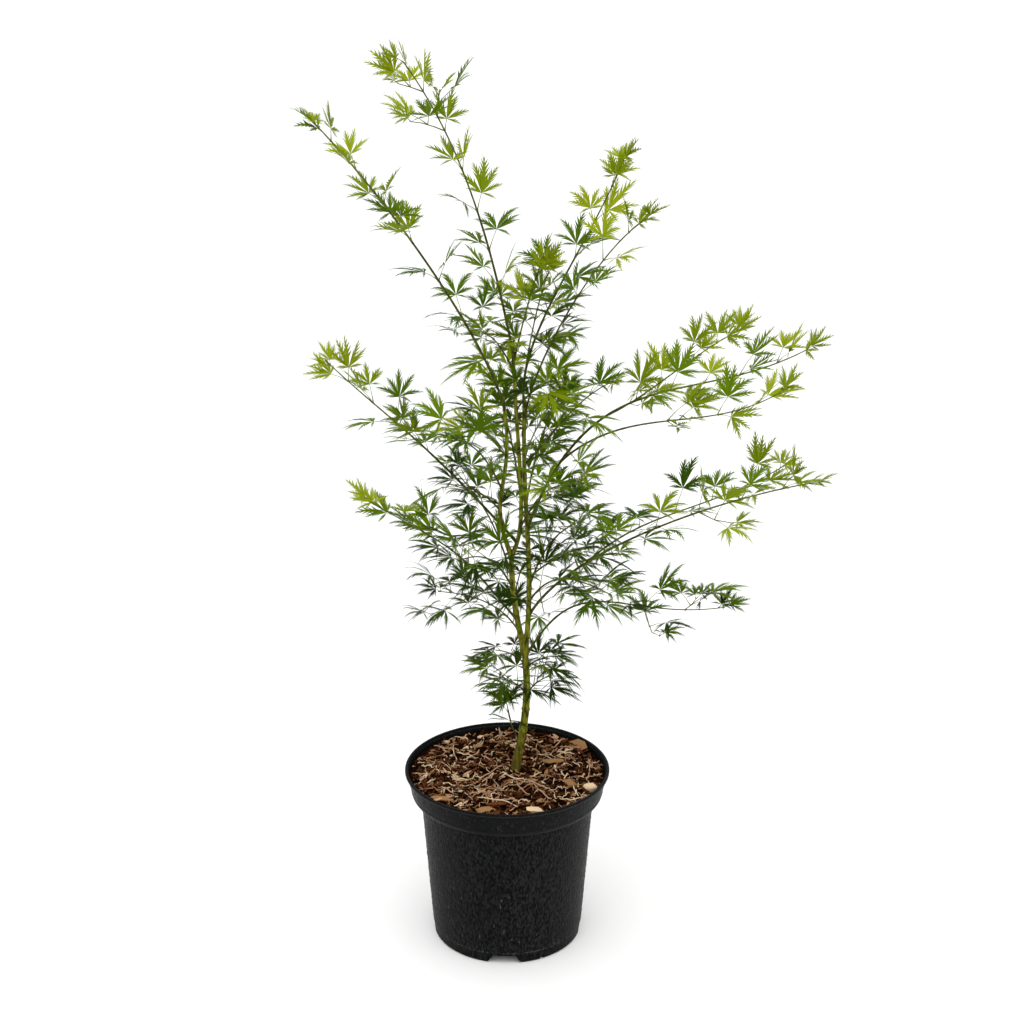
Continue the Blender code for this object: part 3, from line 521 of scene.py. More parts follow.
def makeSpecks():
    rng = random.Random(specks["seed"])
    heaps = {name: Heap() for name in specks["looks"]}
    last = specks["rows"]
    while len(heaps["potSpecks"].corners) < specks["count"] * (last + 1):
        turn = rng.uniform(0, 2 * math.pi)
        height = between((specks["lowest"], specks["highest"]), rng.random() ** specks["lower"])
        if abs(height - collarFoot + 0.002) < specks["shoulderClear"]:
            continue
        half = rng.uniform(*specks["half"]) * rng.uniform(*specks["smaller"])
        long = half * rng.uniform(*specks["longer"])
        out = Vector((math.cos(turn), math.sin(turn), 0))
        across = Vector((-math.sin(turn), math.cos(turn), 0))
        widening = potRadius(height + long) - potRadius(height - long)
        rise = Vector((out.x * widening, out.y * widening, 2 * long)).normalized()
        middle = out * (potRadius(height) - specks["sink"]) + up * height
        corners = []
        for a in turnsOf(last):
            narrow = 1 - specks["taper"] * max(math.sin(a), 0)
            corners.append(middle + across * math.cos(a) * half * narrow + rise * math.sin(a) * long)
        corners.append(middle + out * half * specks["bulge"] - rise * long * 0.25)
        dry = height < specks["paleBelow"] and rng.random() < specks["paleShare"]
        faces = [(i, (i + 1) % last, last) for i in range(last)]
        heaps["potDust" if dry else "potSpecks"].add(corners, faces)
    for name, (grey, gloss) in specks["looks"].items():
        finish = newMaterial(name, (grey, grey, grey * 0.97), gloss, rough=(0.35, 0.22, 0.50), scale=700)[0]
        makePiece(name, heaps[name], finish, "plastic")


makeSpecks()
print("pot done")


# bark mulch: a dark crumbly bed, flakes of bark on it and curled fibres over them

mulch = {
    "inner": potRadius(mulchTop) - pot["thick"] - 0.0012,    # radius that the mulch may fill
    "trunkClear": 0.0085,
    "bedDrop": 0.0030,           # how far the bed lies under the solid's flat top
    "bedRough": 0.0034,
    "bedLumps": 95,              # lumps and crumbs, for each metre
    "bedCrumbs": 260,
    "crumbShare": 0.6,
    "hump": 0.0022,              # the bed rises toward the trunk
    "humpWide": 0.0012,
    "bedOver": 0.0009,
    "bedRings": 46,
    "bedSides": 150,
    "bedColour": (0.009, 0.0024, 0.0004),
    "flakes": 1900,
    "flakeLong": (0.0038, 0.0165),
    "flakeSlim": (0.14, 0.44),   # width against length
    "flakeThick": (0.0007, 0.0018),
    "flakeTilt": 0.55,
    "flakeLift": (0, 0.0026),
    "flakeSizes": (0.6, 1.15),
    "flakeSharp": 28,            # degrees from which an edge is sharp
    "fibres": 520,
    "fibreLong": (0.010, 0.044),
    "fibreHalf": (0.00040, 0.00100),
    "fibreCurl": 0.95,
    "fibreSlope": 0.07,
    "fibreWave": 0.0009,
    "fibreLift": (0.0014, 0.0046),
    "fibreSteps": 8,
    "fibreSizes": (0.4, 1),
    "fibreSharp": 50,
    "forkShare": 0.28,           # how many fibres carry a thinner branch,
    "forkTurn": (0.5, 1.1),      # its angle to the fibre,
    "forkLong": 0.45,            # its length and thickness against the fibre's
    "forkHalf": 0.75,
    "seed": 5,
    "longFibreLift": 0.0052,
    "longFibreSeed": 17,
    "chipLift": 0.0010,
    "chipLean": 0.12,
    "chipSeed": 31,
}
barkTones = {                    # colour, share of the flakes, share of the fibres
    "Soot": ((0.010, 0.0026, 0.0004), 0.29, 0.03),
    "Brown": ((0.056, 0.019, 0.006), 0.37, 0.16),
    "Russet": ((0.120, 0.040, 0.016), 0.18, 0.12),
    "Tan": ((0.310, 0.165, 0.070), 0.08, 0.20),
    "Straw": ((0.740, 0.550, 0.350), 0.03, 0.24),
    "Pink": ((0.520, 0.310, 0.190), 0.05, 0.25),
}


def woodFinish(name, colour, rough, scale=420):
    roughs = (rough, rough - 0.12, rough + 0.08)
    material, shader, grain = newMaterial(name, colour, gloss=0.025, rough=roughs, scale=scale, detail=5)
    addBump(shader, grain, strength=0.7, distance=0.0006)
    return material


def bedHeight(x, y):
    lumps, crumbs = mulch["bedLumps"], mulch["bedCrumbs"]
    rough = noise.noise(Vector((x * lumps, y * lumps, 0)))
    rough += mulch["crumbShare"] * noise.noise(Vector((x * crumbs, y * crumbs, 7)))
    away = (x - trunkAt[0]) ** 2 + (y - trunkAt[1]) ** 2
    hump = mulch["hump"] * math.exp(-away / mulch["humpWide"])
    return mulchTop - mulch["bedDrop"] + mulch["bedRough"] * rough + hump


def makeBed():
    heap = Heap()
    rings, sides, reach = mulch["bedRings"], mulch["bedSides"], mulch["inner"] + mulch["bedOver"]
    corners = [Vector((0, 0, bedHeight(0, 0)))]
    for i in range(1, rings + 1):
        for turn in turnsOf(sides):
            x, y = reach * i / rings * math.cos(turn), reach * i / rings * math.sin(turn)
            corners.append(Vector((x, y, bedHeight(x, y))))
    faces = [(0, 1 + j, 1 + (j + 1) % sides) for j in range(sides)]
    faces += [(a, d, c, b) for a, b, c, d in wallFaces(rings, sides, 1)]
    heap.add(corners, faces)
    finish = woodFinish("darkCrumbs", mulch["bedColour"], rough=0.95, scale=900)
    makePiece("mulchBed", heap, finish, "mulch", ["bark_mulch"])


def addFlake(heap, rng, place, turn, long, wide, thick, tilt, count=None):
    # an uneven chip with a bevelled upper face, split or snapped at its ends
    count = count or rng.choice((5, 6, 6, 7))
    outline = []
    for i in range(count):
        a = 2 * math.pi * (i + rng.uniform(-0.25, 0.25)) / count
        square = 1 / max(abs(math.cos(a)), abs(math.sin(a))) ** 0.7
        x = math.cos(a) * long / 2 * square * rng.uniform(0.82, 1)
        outline.append((x, math.sin(a) * wide / 2 * square))
    matrix = Matrix.Rotation(turn, 3, "Z")
    matrix = matrix @ Matrix.Rotation(tilt[0], 3, "X") @ Matrix.Rotation(tilt[1], 3, "Y")
    bow = rng.uniform(-0.25, 0.35) / long
    corners = []
    for height, size in ((-0.5, 0.92), (0.25, 1.0), (0.5, 0.80)):
        for x, y in outline:
            corners.append(place + matrix @ Vector((x * size, y * size, height * thick + bow * x * x)))
    heap.add(corners, capFaces(3, count) + wallFaces(3, count))


def pickTone(rng, column):
    draw = rng.random() * sum(row[column] for row in barkTones.values())
    for name, row in barkTones.items():
        draw -= row[column]
        if draw <= 0:
            return name
    return "Brown"


def placeOnBed(rng, half):
    # an even spread over the disc, with each piece's ends inside the wall
    inner = mulch["inner"]
    while True:
        x, y = rng.uniform(-1, 1) * inner, rng.uniform(-1, 1) * inner
        byTrunk = math.hypot(x - trunkAt[0], y - trunkAt[1]) <= mulch["trunkClear"]
        if math.hypot(x, y) + half * 0.9 < inner and not byTrunk:
            return x, y


def addFibre(heap, rng, start, turn, long, half, curl, base):
    # a curling fibre that follows the bed; returns a place and a heading for a branch, or None
    steps = mulch["fibreSteps"]
    points = []
    heading = Vector((math.cos(turn), math.sin(turn), 0))
    point = Vector((*start, 0))
    slope = rng.gauss(0, mulch["fibreSlope"])
    smoothTop = mulchTop - mulch["bedDrop"]
    for i in range(steps):
        wave = mulch["fibreWave"] * math.sin(i * 1.7 + turn * 3)
        height = (bedHeight(point.x, point.y) + smoothTop) / 2 + base + wave
        height += slope * (i / (steps - 1) - 0.5) * long
        points.append(Vector((point.x, point.y, height)))
        if i == steps // 2:
            fork = ((point.x, point.y), math.atan2(heading.y, heading.x))
        heading = Matrix.Rotation(curl / steps * rng.uniform(0.2, 1.8), 3, "Z") @ heading
        point = point + heading * long / (steps - 1)
    if max(math.hypot(p.x, p.y) for p in points) > mulch["inner"]:
        return None
    radii = [half * (0.55 + 0.45 * math.sin(math.pi * (i + 0.7) / steps)) for i in range(steps)]
    addCurve(heap, points, radii, 5)
    return fork


def makeMulch():
    rng = random.Random(mulch["seed"])
    flakes = {name: Heap() for name in barkTones}
    fibres = {name: Heap() for name in barkTones}
    for _ in range(mulch["flakes"]):
        long = rng.uniform(*mulch["flakeLong"]) * rng.uniform(*mulch["flakeSizes"])
        wide = long * rng.uniform(*mulch["flakeSlim"])
        x, y = placeOnBed(rng, long / 2)
        tilt = (rng.gauss(0, mulch["flakeTilt"]), rng.gauss(0, mulch["flakeTilt"] * 0.6))
        lift = abs(math.sin(tilt[1])) * long * 0.30 + rng.uniform(*mulch["flakeLift"])
        place = Vector((x, y, bedHeight(x, y) + lift))
        addFlake(flakes[pickTone(rng, 1)], rng, place, rng.uniform(0, math.pi), long, wide,
                 rng.uniform(*mulch["flakeThick"]), tilt)
    for _ in range(mulch["fibres"]):
        long = rng.uniform(*mulch["fibreLong"]) * rng.uniform(*mulch["fibreSizes"])
        x, y = placeOnBed(rng, long / 2)
        turn = rng.uniform(0, 2 * math.pi)
        start = (x - math.cos(turn) * long / 2, y - math.sin(turn) * long / 2)
        half = rng.uniform(*mulch["fibreHalf"])
        heap, base = fibres[pickTone(rng, 2)], rng.uniform(*mulch["fibreLift"])
        fork = addFibre(heap, rng, start, turn, long, half, rng.gauss(0, mulch["fibreCurl"]), base)
        if fork and rng.random() < mulch["forkShare"]:
            side = rng.choice((-1, 1)) * rng.uniform(*mulch["forkTurn"])
            long, half = long * mulch["forkLong"], half * mulch["forkHalf"]
            addFibre(heap, rng, fork[0], fork[1] + side, long, half, -side, base)
    for name, (colour, _, _) in barkTones.items():
        finish = woodFinish("bark" + name, colour, rough=0.86)
        makePiece("mulchFlakes" + name, flakes[name], finish, "mulch", ["bark_mulch"], mulch["flakeSharp"])
        makePiece("mulchFibres" + name, fibres[name], finish, "mulch", ["bark_mulch"], mulch["fibreSharp"])


makeBed()
makeMulch()

# the longest fibres: start, heading in degrees, length, half its thickness, curl, tone
longFibres = {
    "besideTrunk": ((-0.006, -0.012), -60, 0.036, 0.0010, 1.0, "Straw"),
    "frontCurve": ((-0.040, -0.082), 5, 0.060, 0.0009, -0.9, "Straw"),
    "frontArc": ((-0.046, -0.040), -70, 0.060, 0.0009, 2.0, "Tan"),
    "frontHook": ((-0.036, -0.060), -50, 0.042, 0.0011, -0.9, "Tan"),
    "rightFork": ((0.036, -0.038), -70, 0.066, 0.0010, 0.3, "Pink"),
    "rightLong": ((0.022, -0.036), -15, 0.056, 0.0009, -0.5, "Pink"),
    "rightUpright": ((0.089, -0.044), -85, 0.034, 0.0010, 0.2, "Straw"),
    "rightFlat": ((0.074, -0.052), 20, 0.032, 0.0008, -0.2, "Tan"),
    "rightBow": ((0.070, -0.084), -25, 0.034, 0.0008, 1.2, "Straw"),
    "rimBow": ((0.112, 0.030), -75, 0.055, 0.0007, -0.6, "Pink"),
    "backRight": ((0.074, 0.072), -30, 0.028, 0.0008, 0.6, "Pink"),
    "leftLong": ((-0.103, 0.071), -15, 0.032, 0.0008, -0.2, "Pink"),
    "leftSlope": ((-0.044, -0.040), 65, 0.064, 0.0008, -0.4, "Pink"),
    "leftShort": ((-0.074, -0.028), 15, 0.020, 0.0010, -0.9, "Straw"),
    "leftStraight": ((-0.108, -0.041), 55, 0.018, 0.0009, 0.0, "Straw"),
    "leftFlat": ((-0.126, -0.012), 5, 0.022, 0.0008, -0.4, "Pink"),
    "backShort": ((-0.026, 0.086), 10, 0.032, 0.0009, -0.6, "Tan"),
    "backLeft": ((-0.090, 0.020), -50, 0.048, 0.0008, -0.4, "Pink"),
}

# single larger chips, most of them near the rim:
# place, turn, length, width, thickness, corners, tone, lean to the side
bigChips = {
    "wedge": ((0.084, -0.036), -0.45, 0.027, 0.017, 0.0030, 4, "Tan", 0.15),
    "stub": ((0.112, -0.050), 0.35, 0.020, 0.014, 0.0080, 7, "Straw", 0.05),
    "curl": ((0.100, 0.078), -0.75, 0.036, 0.018, 0.0022, 6, "Tan", 0.45),
    "strip": ((0.062, 0.027), 0.25, 0.036, 0.010, 0.0020, 6, "Tan", 0.10),
    "rimChip": ((-0.030, -0.112), 0.05, 0.026, 0.010, 0.0024, 6, "Tan", 0.20),
    "frontChip": ((0.036, -0.112), 0.12, 0.027, 0.011, 0.0028, 7, "Straw", 0.15),
    "leftChip": ((-0.088, -0.080), -0.15, 0.036, 0.009, 0.0020, 6, "Tan", 0.20),
    "longChip": ((-0.012, -0.095), 0.30, 0.040, 0.008, 0.0020, 6, "Russet", 0.10),
}


def makeSingle(name, heap, tone, sharpDegrees):
    makePiece(name, heap, bpy.data.materials["bark" + tone], "mulch", ["bark_mulch"], sharpDegrees)


def makeLongFibres():
    rng = random.Random(mulch["longFibreSeed"])
    for name, (start, degrees, long, half, curl, tone) in longFibres.items():
        heap = Heap()
        addFibre(heap, rng, start, math.radians(degrees), long, half, curl, mulch["longFibreLift"])
        makeSingle("longFibre_" + name, heap, tone, mulch["fibreSharp"])


def makeBigChips():
    rng = random.Random(mulch["chipSeed"])
    for name, ((x, y), turn, long, wide, thick, count, tone, lean) in bigChips.items():
        heap = Heap()
        place = Vector((x, y, mulchTop + mulch["chipLift"]))
        addFlake(heap, rng, place, turn, long, wide, thick, (lean, stray(rng, mulch["chipLean"])), count)
        makeSingle("mulchChip_" + name, heap, tone, mulch["flakeSharp"])


makeLongFibres()
makeBigChips()
print("mulch done")


# One row for each limb, as in the solids:
#   the limb it leaves, and the share of that limb's length
#   from its foot to its tip in mm: right, back, up
#   its slope at the foot and at the tip, in degrees above level, and how strongly each bends it
#   its radii at the foot and at the tip, in tenths of a mm
# and for a limb that carries leaves:
#   the share that is a bough of its own; the rest is the stem of a mass of foliage
#   its age at the foot and at the tip: 0 for young lime growth, 1 for old, long, hanging leaves
#   the distance between two pairs of leaves in mm
#   the seed: which of the crown's chance arrangements the mass has
columns = ("parent", "at", "to", "slopes", "pull", "radii", "bare", "age", "spacing", "seed")
stems = {
    "trunk": (None, 0, (12, -6, 185), (79, 96), (1.2, 1.2), (56, 44)),
    "main_stem": ("trunk", 0.97, (-18, 0, 144), (104, 90), (1.1, 1), (40, 36)),
    "side_stem": ("trunk", 0.95, (-1, 30, 346), (84, 88), (1.2, 1.3), (36, 26)),
    "left_leader": ("main_stem", 0.96, (-11, -20, 223), (112, 99), (1.3, 1.7), (29, 23)),
    "centre_leader": ("main_stem", 0.96, (2, 20, 279), (58, 92), (0.5, 1.7), (30, 23)),
}
# the boughs, those of the top first
boughs = {
    "upper_left": ("left_leader", 0.97, (-233, -95, 382), (72, 43), (0.9, 0.5),
        (18, 8), 0.2, (0.75, 0), 56, 6),
    "top": ("centre_leader", 0.98, (-156, 48, 385), (78, 47), (0.8, 1.1),
        (18, 8), 0.04, (0.75, 0), 56, 16),
    "upper_right": ("side_stem", 0.98, (137, 63, 340), (100, 70), (0.8, 1.1),
        (18, 8), 0.16, (0.75, 0.05), 54, 632),
    "outer_right": ("side_stem", 0.9, (158, -110, 305), (92, 12), (0.7, 0.5),
        (14, 7), 0.3, (0.6, 0), 60, 44),
    # the right side
    "long_right": ("side_stem", 0.52, (403, 67, 248), (70, 33), (1.7, 1.3),
        (20, 7), 0.37, (0.45, 0), 54, 54),
    "low_long_right": ("long_right_bough", 0.15, (300, -110, 150), (44, 45), (1.25, 1.3),
        (14, 6), 0.4, (0.4, 0), 56, 661),
    "back_right": ("long_right_bough", 0.33, (202, 125, 92), (12, 14), (0.8, 1.3),
        (13, 6), 0.1, (0.4, 0), 56, 81),
    "middle_right": ("side_stem", 0.14, (375, -100, 226), (64, 12), (0.8, 0.7),
        (19, 7), 0.3, (0.9, 0), 56, 691),
    "middle_back_right": ("middle_right_bough", 0.28, (295, 135, 105), (36, 27), (1, 1.3),
        (13, 6), 0.16, (0.8, 0), 68, 104),
    "low_right": ("trunk", 0.93, (310, 91, 42), (60, 7), (1.5, 1.7),
        (15, 6), 0.22, (1, 0.3), 64, 112),
    # the left side
    "middle_left": ("centre_leader", 0.13, (-277, 118, 237), (43, 39), (1.7, 1.2),
        (18, 7), 0.3, (0.7, 0), 52, 721),
    "low_left": ("main_stem", 0.3, (-212, -148, 238), (52, 36), (1.5, 1.9),
        (15, 6), 0.26, (0.9, 0), 56, 136),
    "lowest_left": ("main_stem", 0.16, (-120, 82, 30), (56, -10), (1.2, 0.8),
        (12, 6), 0, (1, 0.6), 34, 751),
    # shorter boughs that fill the crown toward the front and the back
    "front_left": ("main_stem", 0.62, (-75, -205, 115), (48, 10), (1.2, 1.2),
        (14, 6), 0, (1, 0.7), 70, 157),
    "front_right": ("side_stem", 0.2, (110, -200, 85), (50, 4), (1.2, 1.2),
        (14, 6), 0, (1, 0.7), 52, 173),
    "front_high_left": ("left_leader", 0.48, (-75, -190, 130), (50, 16), (1.2, 1.2),
        (13, 6), 0, (0.8, 0.45), 56, 186),
    "front_high_right": ("centre_leader", 0.24, (80, -195, 125), (50, 12), (1.2, 1.2),
        (13, 6), 0, (0.85, 0.5), 50, 194),
    "back_high_left": ("centre_leader", 0.42, (-50, 240, 135), (52, 18), (1.2, 1.2),
        (14, 6), 0, (0.8, 0.3), 70, 807),
    "back_high_right": ("side_stem", 0.62, (60, 240, 105), (50, 12), (1.2, 1.2),
        (14, 6), 0, (0.8, 0.35), 64, 219),
    "back_left": ("main_stem", 0.72, (-95, 235, 90), (48, 8), (1.2, 1.2),
        (14, 6), 0, (1, 0.6), 76, 240),
    "back_right_low": ("side_stem", 0.26, (100, 215, 30), (46, -4), (1.2, 1.2),
        (14, 6), 0, (1, 0.7), 62, 852),
}
# short leafy shoots close to the trunk and the stems
shoots = {
    "trunk_low_left": ("trunk", 0.62, (-36, -14, 30), (66, 10), (1.2, 1),
        (11, 7), 0, (1, 0.9), 20, 264),
    "trunk_left": ("trunk", 0.86, (-44, 10, 20), (60, -5), (1.2, 1),
        (11, 7), 0, (1, 0.9), 28, 269),
    "trunk_low_right": ("trunk", 0.62, (30, 10, 24), (66, 10), (1.2, 1),
        (11, 7), 0, (1, 0.9), 28, 288),
    "trunk_right": ("trunk", 0.84, (34, -16, 22), (60, 0), (1.2, 1),
        (11, 7), 0, (1, 0.9), 28, 896),
    "stem_left": ("left_leader", 0.3, (-64, 18, 30), (50, 0), (1.2, 1),
        (11, 7), 0, (0.95, 0.8), 28, 902),
    "stem_right": ("side_stem", 0.58, (58, -22, 36), (52, 6), (1.2, 1),
        (11, 7), 0, (0.9, 0.7), 28, 921),
    "stem_back": ("main_stem", 0.5, (14, 70, 30), (52, 6), (1.2, 1),
        (11, 7), 0, (1, 0.8), 28, 926),
    "leader_left": ("left_leader", 0.72, (-52, -18, 48), (55, 12), (1.2, 1),
        (11, 7), 0, (0.4, 0.1), 28, 946),
    "leader_back": ("centre_leader", 0.62, (-50, 50, 40), (55, 10), (1.2, 1),
        (11, 7), 0, (0.8, 0.6), 28, 353),
    "leader_right": ("centre_leader", 0.8, (50, -34, 46), (58, 12), (1.2, 1),
        (11, 7), 0, (0.75, 0.5), 28, 972),
    "crown_left": ("centre_leader", 0.93, (-44, -20, 56), (60, 16), (1.2, 1),
        (11, 7), 0, (0.7, 0.4), 28, 384),
    "crown_right": ("centre_leader", 0.95, (40, -12, 150), (78, 70), (1.1, 1),
        (13, 8), 0, (0.6, 0.05), 50, 988),
    "inner_right": ("side_stem", 0.78, (122, -35, 128), (50, 24), (1.2, 1),
        (13, 7), 0, (0.7, 0.2), 52, 398),
    "side_back": ("side_stem", 0.8, (34, 60, 48), (56, 10), (1.2, 1),
        (11, 7), 0, (0.7, 0.5), 28, 410),
    "low_inner_right": ("side_stem", 0.3, (76, -12, 40), (48, 0), (1.2, 1),
        (12, 7), 0, (0.95, 0.7), 28, 432),
    "upper_middle": ("upper_right_bough", 0.12, (34, -30, 160), (80, 66), (1.2, 1),
        (13, 7), 0, (0.5, 0), 44, 47),
    "high_top": ("top_bough", 0.76, (6, -50, 40), (60, 30), (1.2, 1),
        (10, 7), 0, (0.3, 0), 30, 53),
    "trunk_foot": ("trunk", 0.2, (-18, -10, 60), (60, 84), (1.2, 1),
        (9, 7), 0, (0.9, 0.8), 55, 457),
}
limbRows = {}
for ending, rows in (("", stems), ("_bough", boughs), ("_shoot", shoots)):
    for name, values in rows.items():
        row = dict(bare=1, spacing=0, upright=rows is stems)
        row.update(zip(columns, values))
        row["to"] = [length / 1000 for length in row["to"]]
        row["radii"] = [radius / 10000 for radius in row["radii"]]
        row["spacing"] /= 1000
        limbRows[name + ending] = row
trunkFoot = Vector((*trunkAt, mulchTop + gap))
rootFlare = {"wider": 0.0022, "height": 0.012}


class Limb:
    # a smooth tapering limb, from its foot to its tip; an upright one has its slopes in the X-Z plane
    def __init__(self, name, foot, row):
        self.name = name
        self.row = row
        self.foot = foot
        self.reach = Vector(row["to"])
        heading = Vector((1, 0, 0)) if row["upright"] else Vector((*row["to"][:2], 0)).normalized()
        ends = []
        for degrees, pull in zip(row["slopes"], row["pull"]):
            angle = math.radians(degrees)
            ends.append((heading * math.cos(angle) + up * math.sin(angle)) * pull * self.reach.length)
        self.first, self.last = ends

    def point(self, t):
        rise = self.reach * (3 * t * t - 2 * t ** 3)
        return self.foot + rise + self.first * (t ** 3 - 2 * t * t + t) + self.last * (t ** 3 - t * t)

    def direction(self, t):
        rise = self.reach * (6 * t - 6 * t * t)
        return (rise + self.first * (3 * t * t - 4 * t + 1) + self.last * (3 * t * t - 2 * t)).normalized()

    def radius(self, t):
        flare = 0
        if self.row["parent"] is None:
            flare = rootFlare["wider"] * math.exp(-(self.point(t).z - self.foot.z) / rootFlare["height"])
        return between(self.row["radii"], t) + flare

    def length(self, start, end, steps=12):
        places = [self.point(t) for t in evenly(start, end, steps)]
        return sum((after - before).length for before, after in zip(places, places[1:]))


# how twigs and leaves stand: the rule of the solids, with the same chance draws in the same order
habit = {
    "stemEnd": 0.93,             # the tip leaves take up the rest of a stem's curve
    "tipBack": 0.005,
    "tipSpread": 0.85,
    "firstJoint": 0.6,
    "lastJoint": 0.4,
    "jointTurn": 0.3,
    "leafSpread": (38, 52),
    "spreadWithAge": 12,
    "twigLeast": 0.0011,
    "twigShare": 0.55,
    "twigTipShare": 0.7,
    "twigThinnest": 0.0008,
    "sideTwigShare": 0.06,
    "sideTwigJoints": 3,
    "sideTwigLength": (0.040, 0.065),
    "sideTwigLevel": 0.4,
    "sideTwigEnds": 5,
    "sideTwigPull": 0.9,
    "sideMiddle": (0.5, 0.3),
    "sideTip": (0.97, 0, 0.6),
    "upright": 0.95,
    "leafReach": 0.068,
    "leafSizes": (0.88, 1.14),
    "youngShare": 0.66,
    "tipShare": 0.70,
    "stalkLength": (0.022, 0.040),
    "stalkWithAge": (0.7, 0.4),
    "tipStalkShare": 0.35,
    "stalkRadius": 0.0005,
    "ageSpread": 0.12,
    "toLight": 0.45,
    "lift": (0.30, 0.95),
    "liftLost": 0.40,
    "dip": (-0.40, 0.10),
    "dipWithAge": 0.32,
    "droop": 0.02,
    "droopWithAge": 0.15,
    "droopSpread": (-0.05, 0.08),
    "sideLean": 0.5,
    "backLean": (-0.5, 0.4),
    "frontLean": (0.50, 0.02),   # of a young leaf, of an old leaf
    "leanLost": 0.50,            # share of these leans that is lost with age
    "fan": (0.76, 1.0),          # how far the lobes are spread, young and old
    "tries": 7,
    "tryYaw": 0.5,
    "tryPitch": 0.4,
    "tryRise": 0.8,
    "tryLonger": 0.06,
}


def leafPose(rng, age, tip=False):
    old = clamp(age + stray(rng, habit["ageSpread"]))
    size = between((habit["youngShare"], 1), old)
    stalk = rng.uniform(*habit["stalkLength"]) * (habit["stalkWithAge"][0] + habit["stalkWithAge"][1] * old)
    front = between(habit["frontLean"], old)
    lean = Vector((stray(rng, habit["sideLean"]), rng.uniform(*habit["backLean"]) - front, 0))
    reach = habit["leafReach"] * size * rng.uniform(*habit["leafSizes"])
    return dict(
        reach=reach * (habit["tipShare"] if tip else 1),
        stalk=stalk * (habit["tipStalkShare"] if tip else 1),
        lift=rng.uniform(*habit["lift"]) - habit["liftLost"] * old,
        dip=rng.uniform(*habit["dip"]) + habit["dipWithAge"] * old,
        lean=lean * (1 - habit["leanLost"] * old),
        droop=habit["droop"] + habit["droopWithAge"] * old + rng.uniform(*habit["droopSpread"]),
        turns=[(stray(rng, habit["tryYaw"]), stray(rng, habit["tryPitch"])) for _ in range(habit["tries"])],
        old=old,
    )


def acrossFrom(along):
    return along.cross(up).normalized() if abs(along.z) < habit["upright"] else Vector((1, 0, 0))


def leafPair(twig, t, turn, spreadAngle, rng, age, tip=False):
    along = twig.direction(t)
    radial = Matrix.Rotation(turn, 3, along) @ acrossFrom(along)
    pair = []
    for sign in (1, -1):
        out = (along * math.cos(spreadAngle) + radial * sign * math.sin(spreadAngle)).normalized()
        pair.append((twig.point(t), out, leafPose(rng, age, tip)))
    return pair


def endLeaf(twig, t, rng, age):
    ahead = twig.direction(t)
    return twig.point(t) - ahead * habit["stalkRadius"], ahead, leafPose(rng, age, True)


def sideTwig(foot, out, length, radius):
    pull = habit["sideTwigPull"]
    row = dict(parent="stem", upright=False, slopes=(math.degrees(math.asin(out.z)), habit["sideTwigEnds"]),
               pull=(pull, pull), radii=(radius, radius * habit["twigTipShare"]))
    row["to"] = (out + Vector((out.x, out.y, 0)) * habit["sideTwigLevel"]).normalized() * length
    return Limb("twig", foot, row)


def growth(limb, start, rng):
    # what grows on a stem, joint by joint: the joint's place, its age, a side twig or None, and leaves
    end = habit["stemEnd"]
    young = limb.row["age"][1]
    length = limb.length(start, end)
    joints = max(1, round(length / limb.row["spacing"]))
    twist = rng.uniform(0, math.pi)
    for i in range(joints):
        share = (i + habit["firstJoint"]) / (joints + habit["lastJoint"])
        t = between((start, end), share)
        age = between(limb.row["age"], share)
        turn = twist + i * math.pi / 2 + stray(rng, habit["jointTurn"])
        spreadAngle = math.radians(rng.uniform(*habit["leafSpread"]) + habit["spreadWithAge"] * age)
        for foot, out, pose in leafPair(limb, t, turn, spreadAngle, rng, age):
            radius = max(habit["twigThinnest"], limb.radius(t) * habit["twigShare"])
            twig = sideTwig(foot, out, rng.uniform(*habit["sideTwigLength"]), radius)
            leaves = leafPair(twig, *habit["sideMiddle"], spreadAngle, rng, age)
            leaves += leafPair(twig, *habit["sideTip"], rng, age, True)
            if rng.random() < habit["sideTwigShare"] and joints > habit["sideTwigJoints"]:
                yield t, age, twig, leaves
            else:
                yield t, age, None, [(foot, out, pose)]
    tip = leafPair(limb, end - habit["tipBack"] / length, 0, habit["tipSpread"], rng, young, True)
    yield end, young, None, tip + [endLeaf(limb, end, rng, young)]


# the leaf: seven lobes cut nearly to the stalk, each toothed like a feather with a long thin tip
leafLook = {
    "lobes": ((106, 0.44), (70, 0.76), (34, 0.93), (0, 1.0), (-34, 0.93), (-70, 0.76), (-106, 0.44)),
    "cuts": (0.14, 0.25, 0.36, 0.47, 0.59, 0.71, 0.84),          # where the cuts between teeth end
    "half": (0.035, 0.037, 0.034, 0.028, 0.020, 0.011, 0.006),   # half the lobe's width there
    "teeth": (0.090, 0.140, 0.150, 0.125, 0.082, 0.038),         # how far the teeth stand out
    "toothSizes": (0.75, 1.15),
    "ahead": 0.17,               # how far a tooth points forward
    "aheadSizes": (0.7, 1.2),
    "wander": 9,                 # degrees by which a lobe leaves its place
    "lobeLengths": (0.79, 1.04), # shares of the length that the rule gives
    "lobeWidths": (0.88, 1.12),
    "lobeTilt": 0.16,            # how far a lobe rises or falls out of the leaf's plane
    "slender": (1.08, 0.72),     # how wide the lobes are, young and old
    "oldLonger": 0.08,
    "oldTip": 0.21,              # how much of an old lobe's teeth gives way to its thread of a tip
    "hang": (0.75, 1.3),         # share of the leaf's droop that a lobe has
    "arch": (0.02, 0.12),
    "threadFrom": 0.45,          # where the thread of an old lobe begins to hang,
    "tipFall": 0.24,             # how far it hangs
    "tipBend": 3.3,              # and how sharply
    "swing": 0.20,               # how far a lobe curves to the side
    "fold": (0.55, -0.25),       # a young leaf is folded up along its lobes, an old one down
    "foldStray": 0.2,
    "stalkFoot": 0.00052,
    "stalkTop": 0.00040,
}


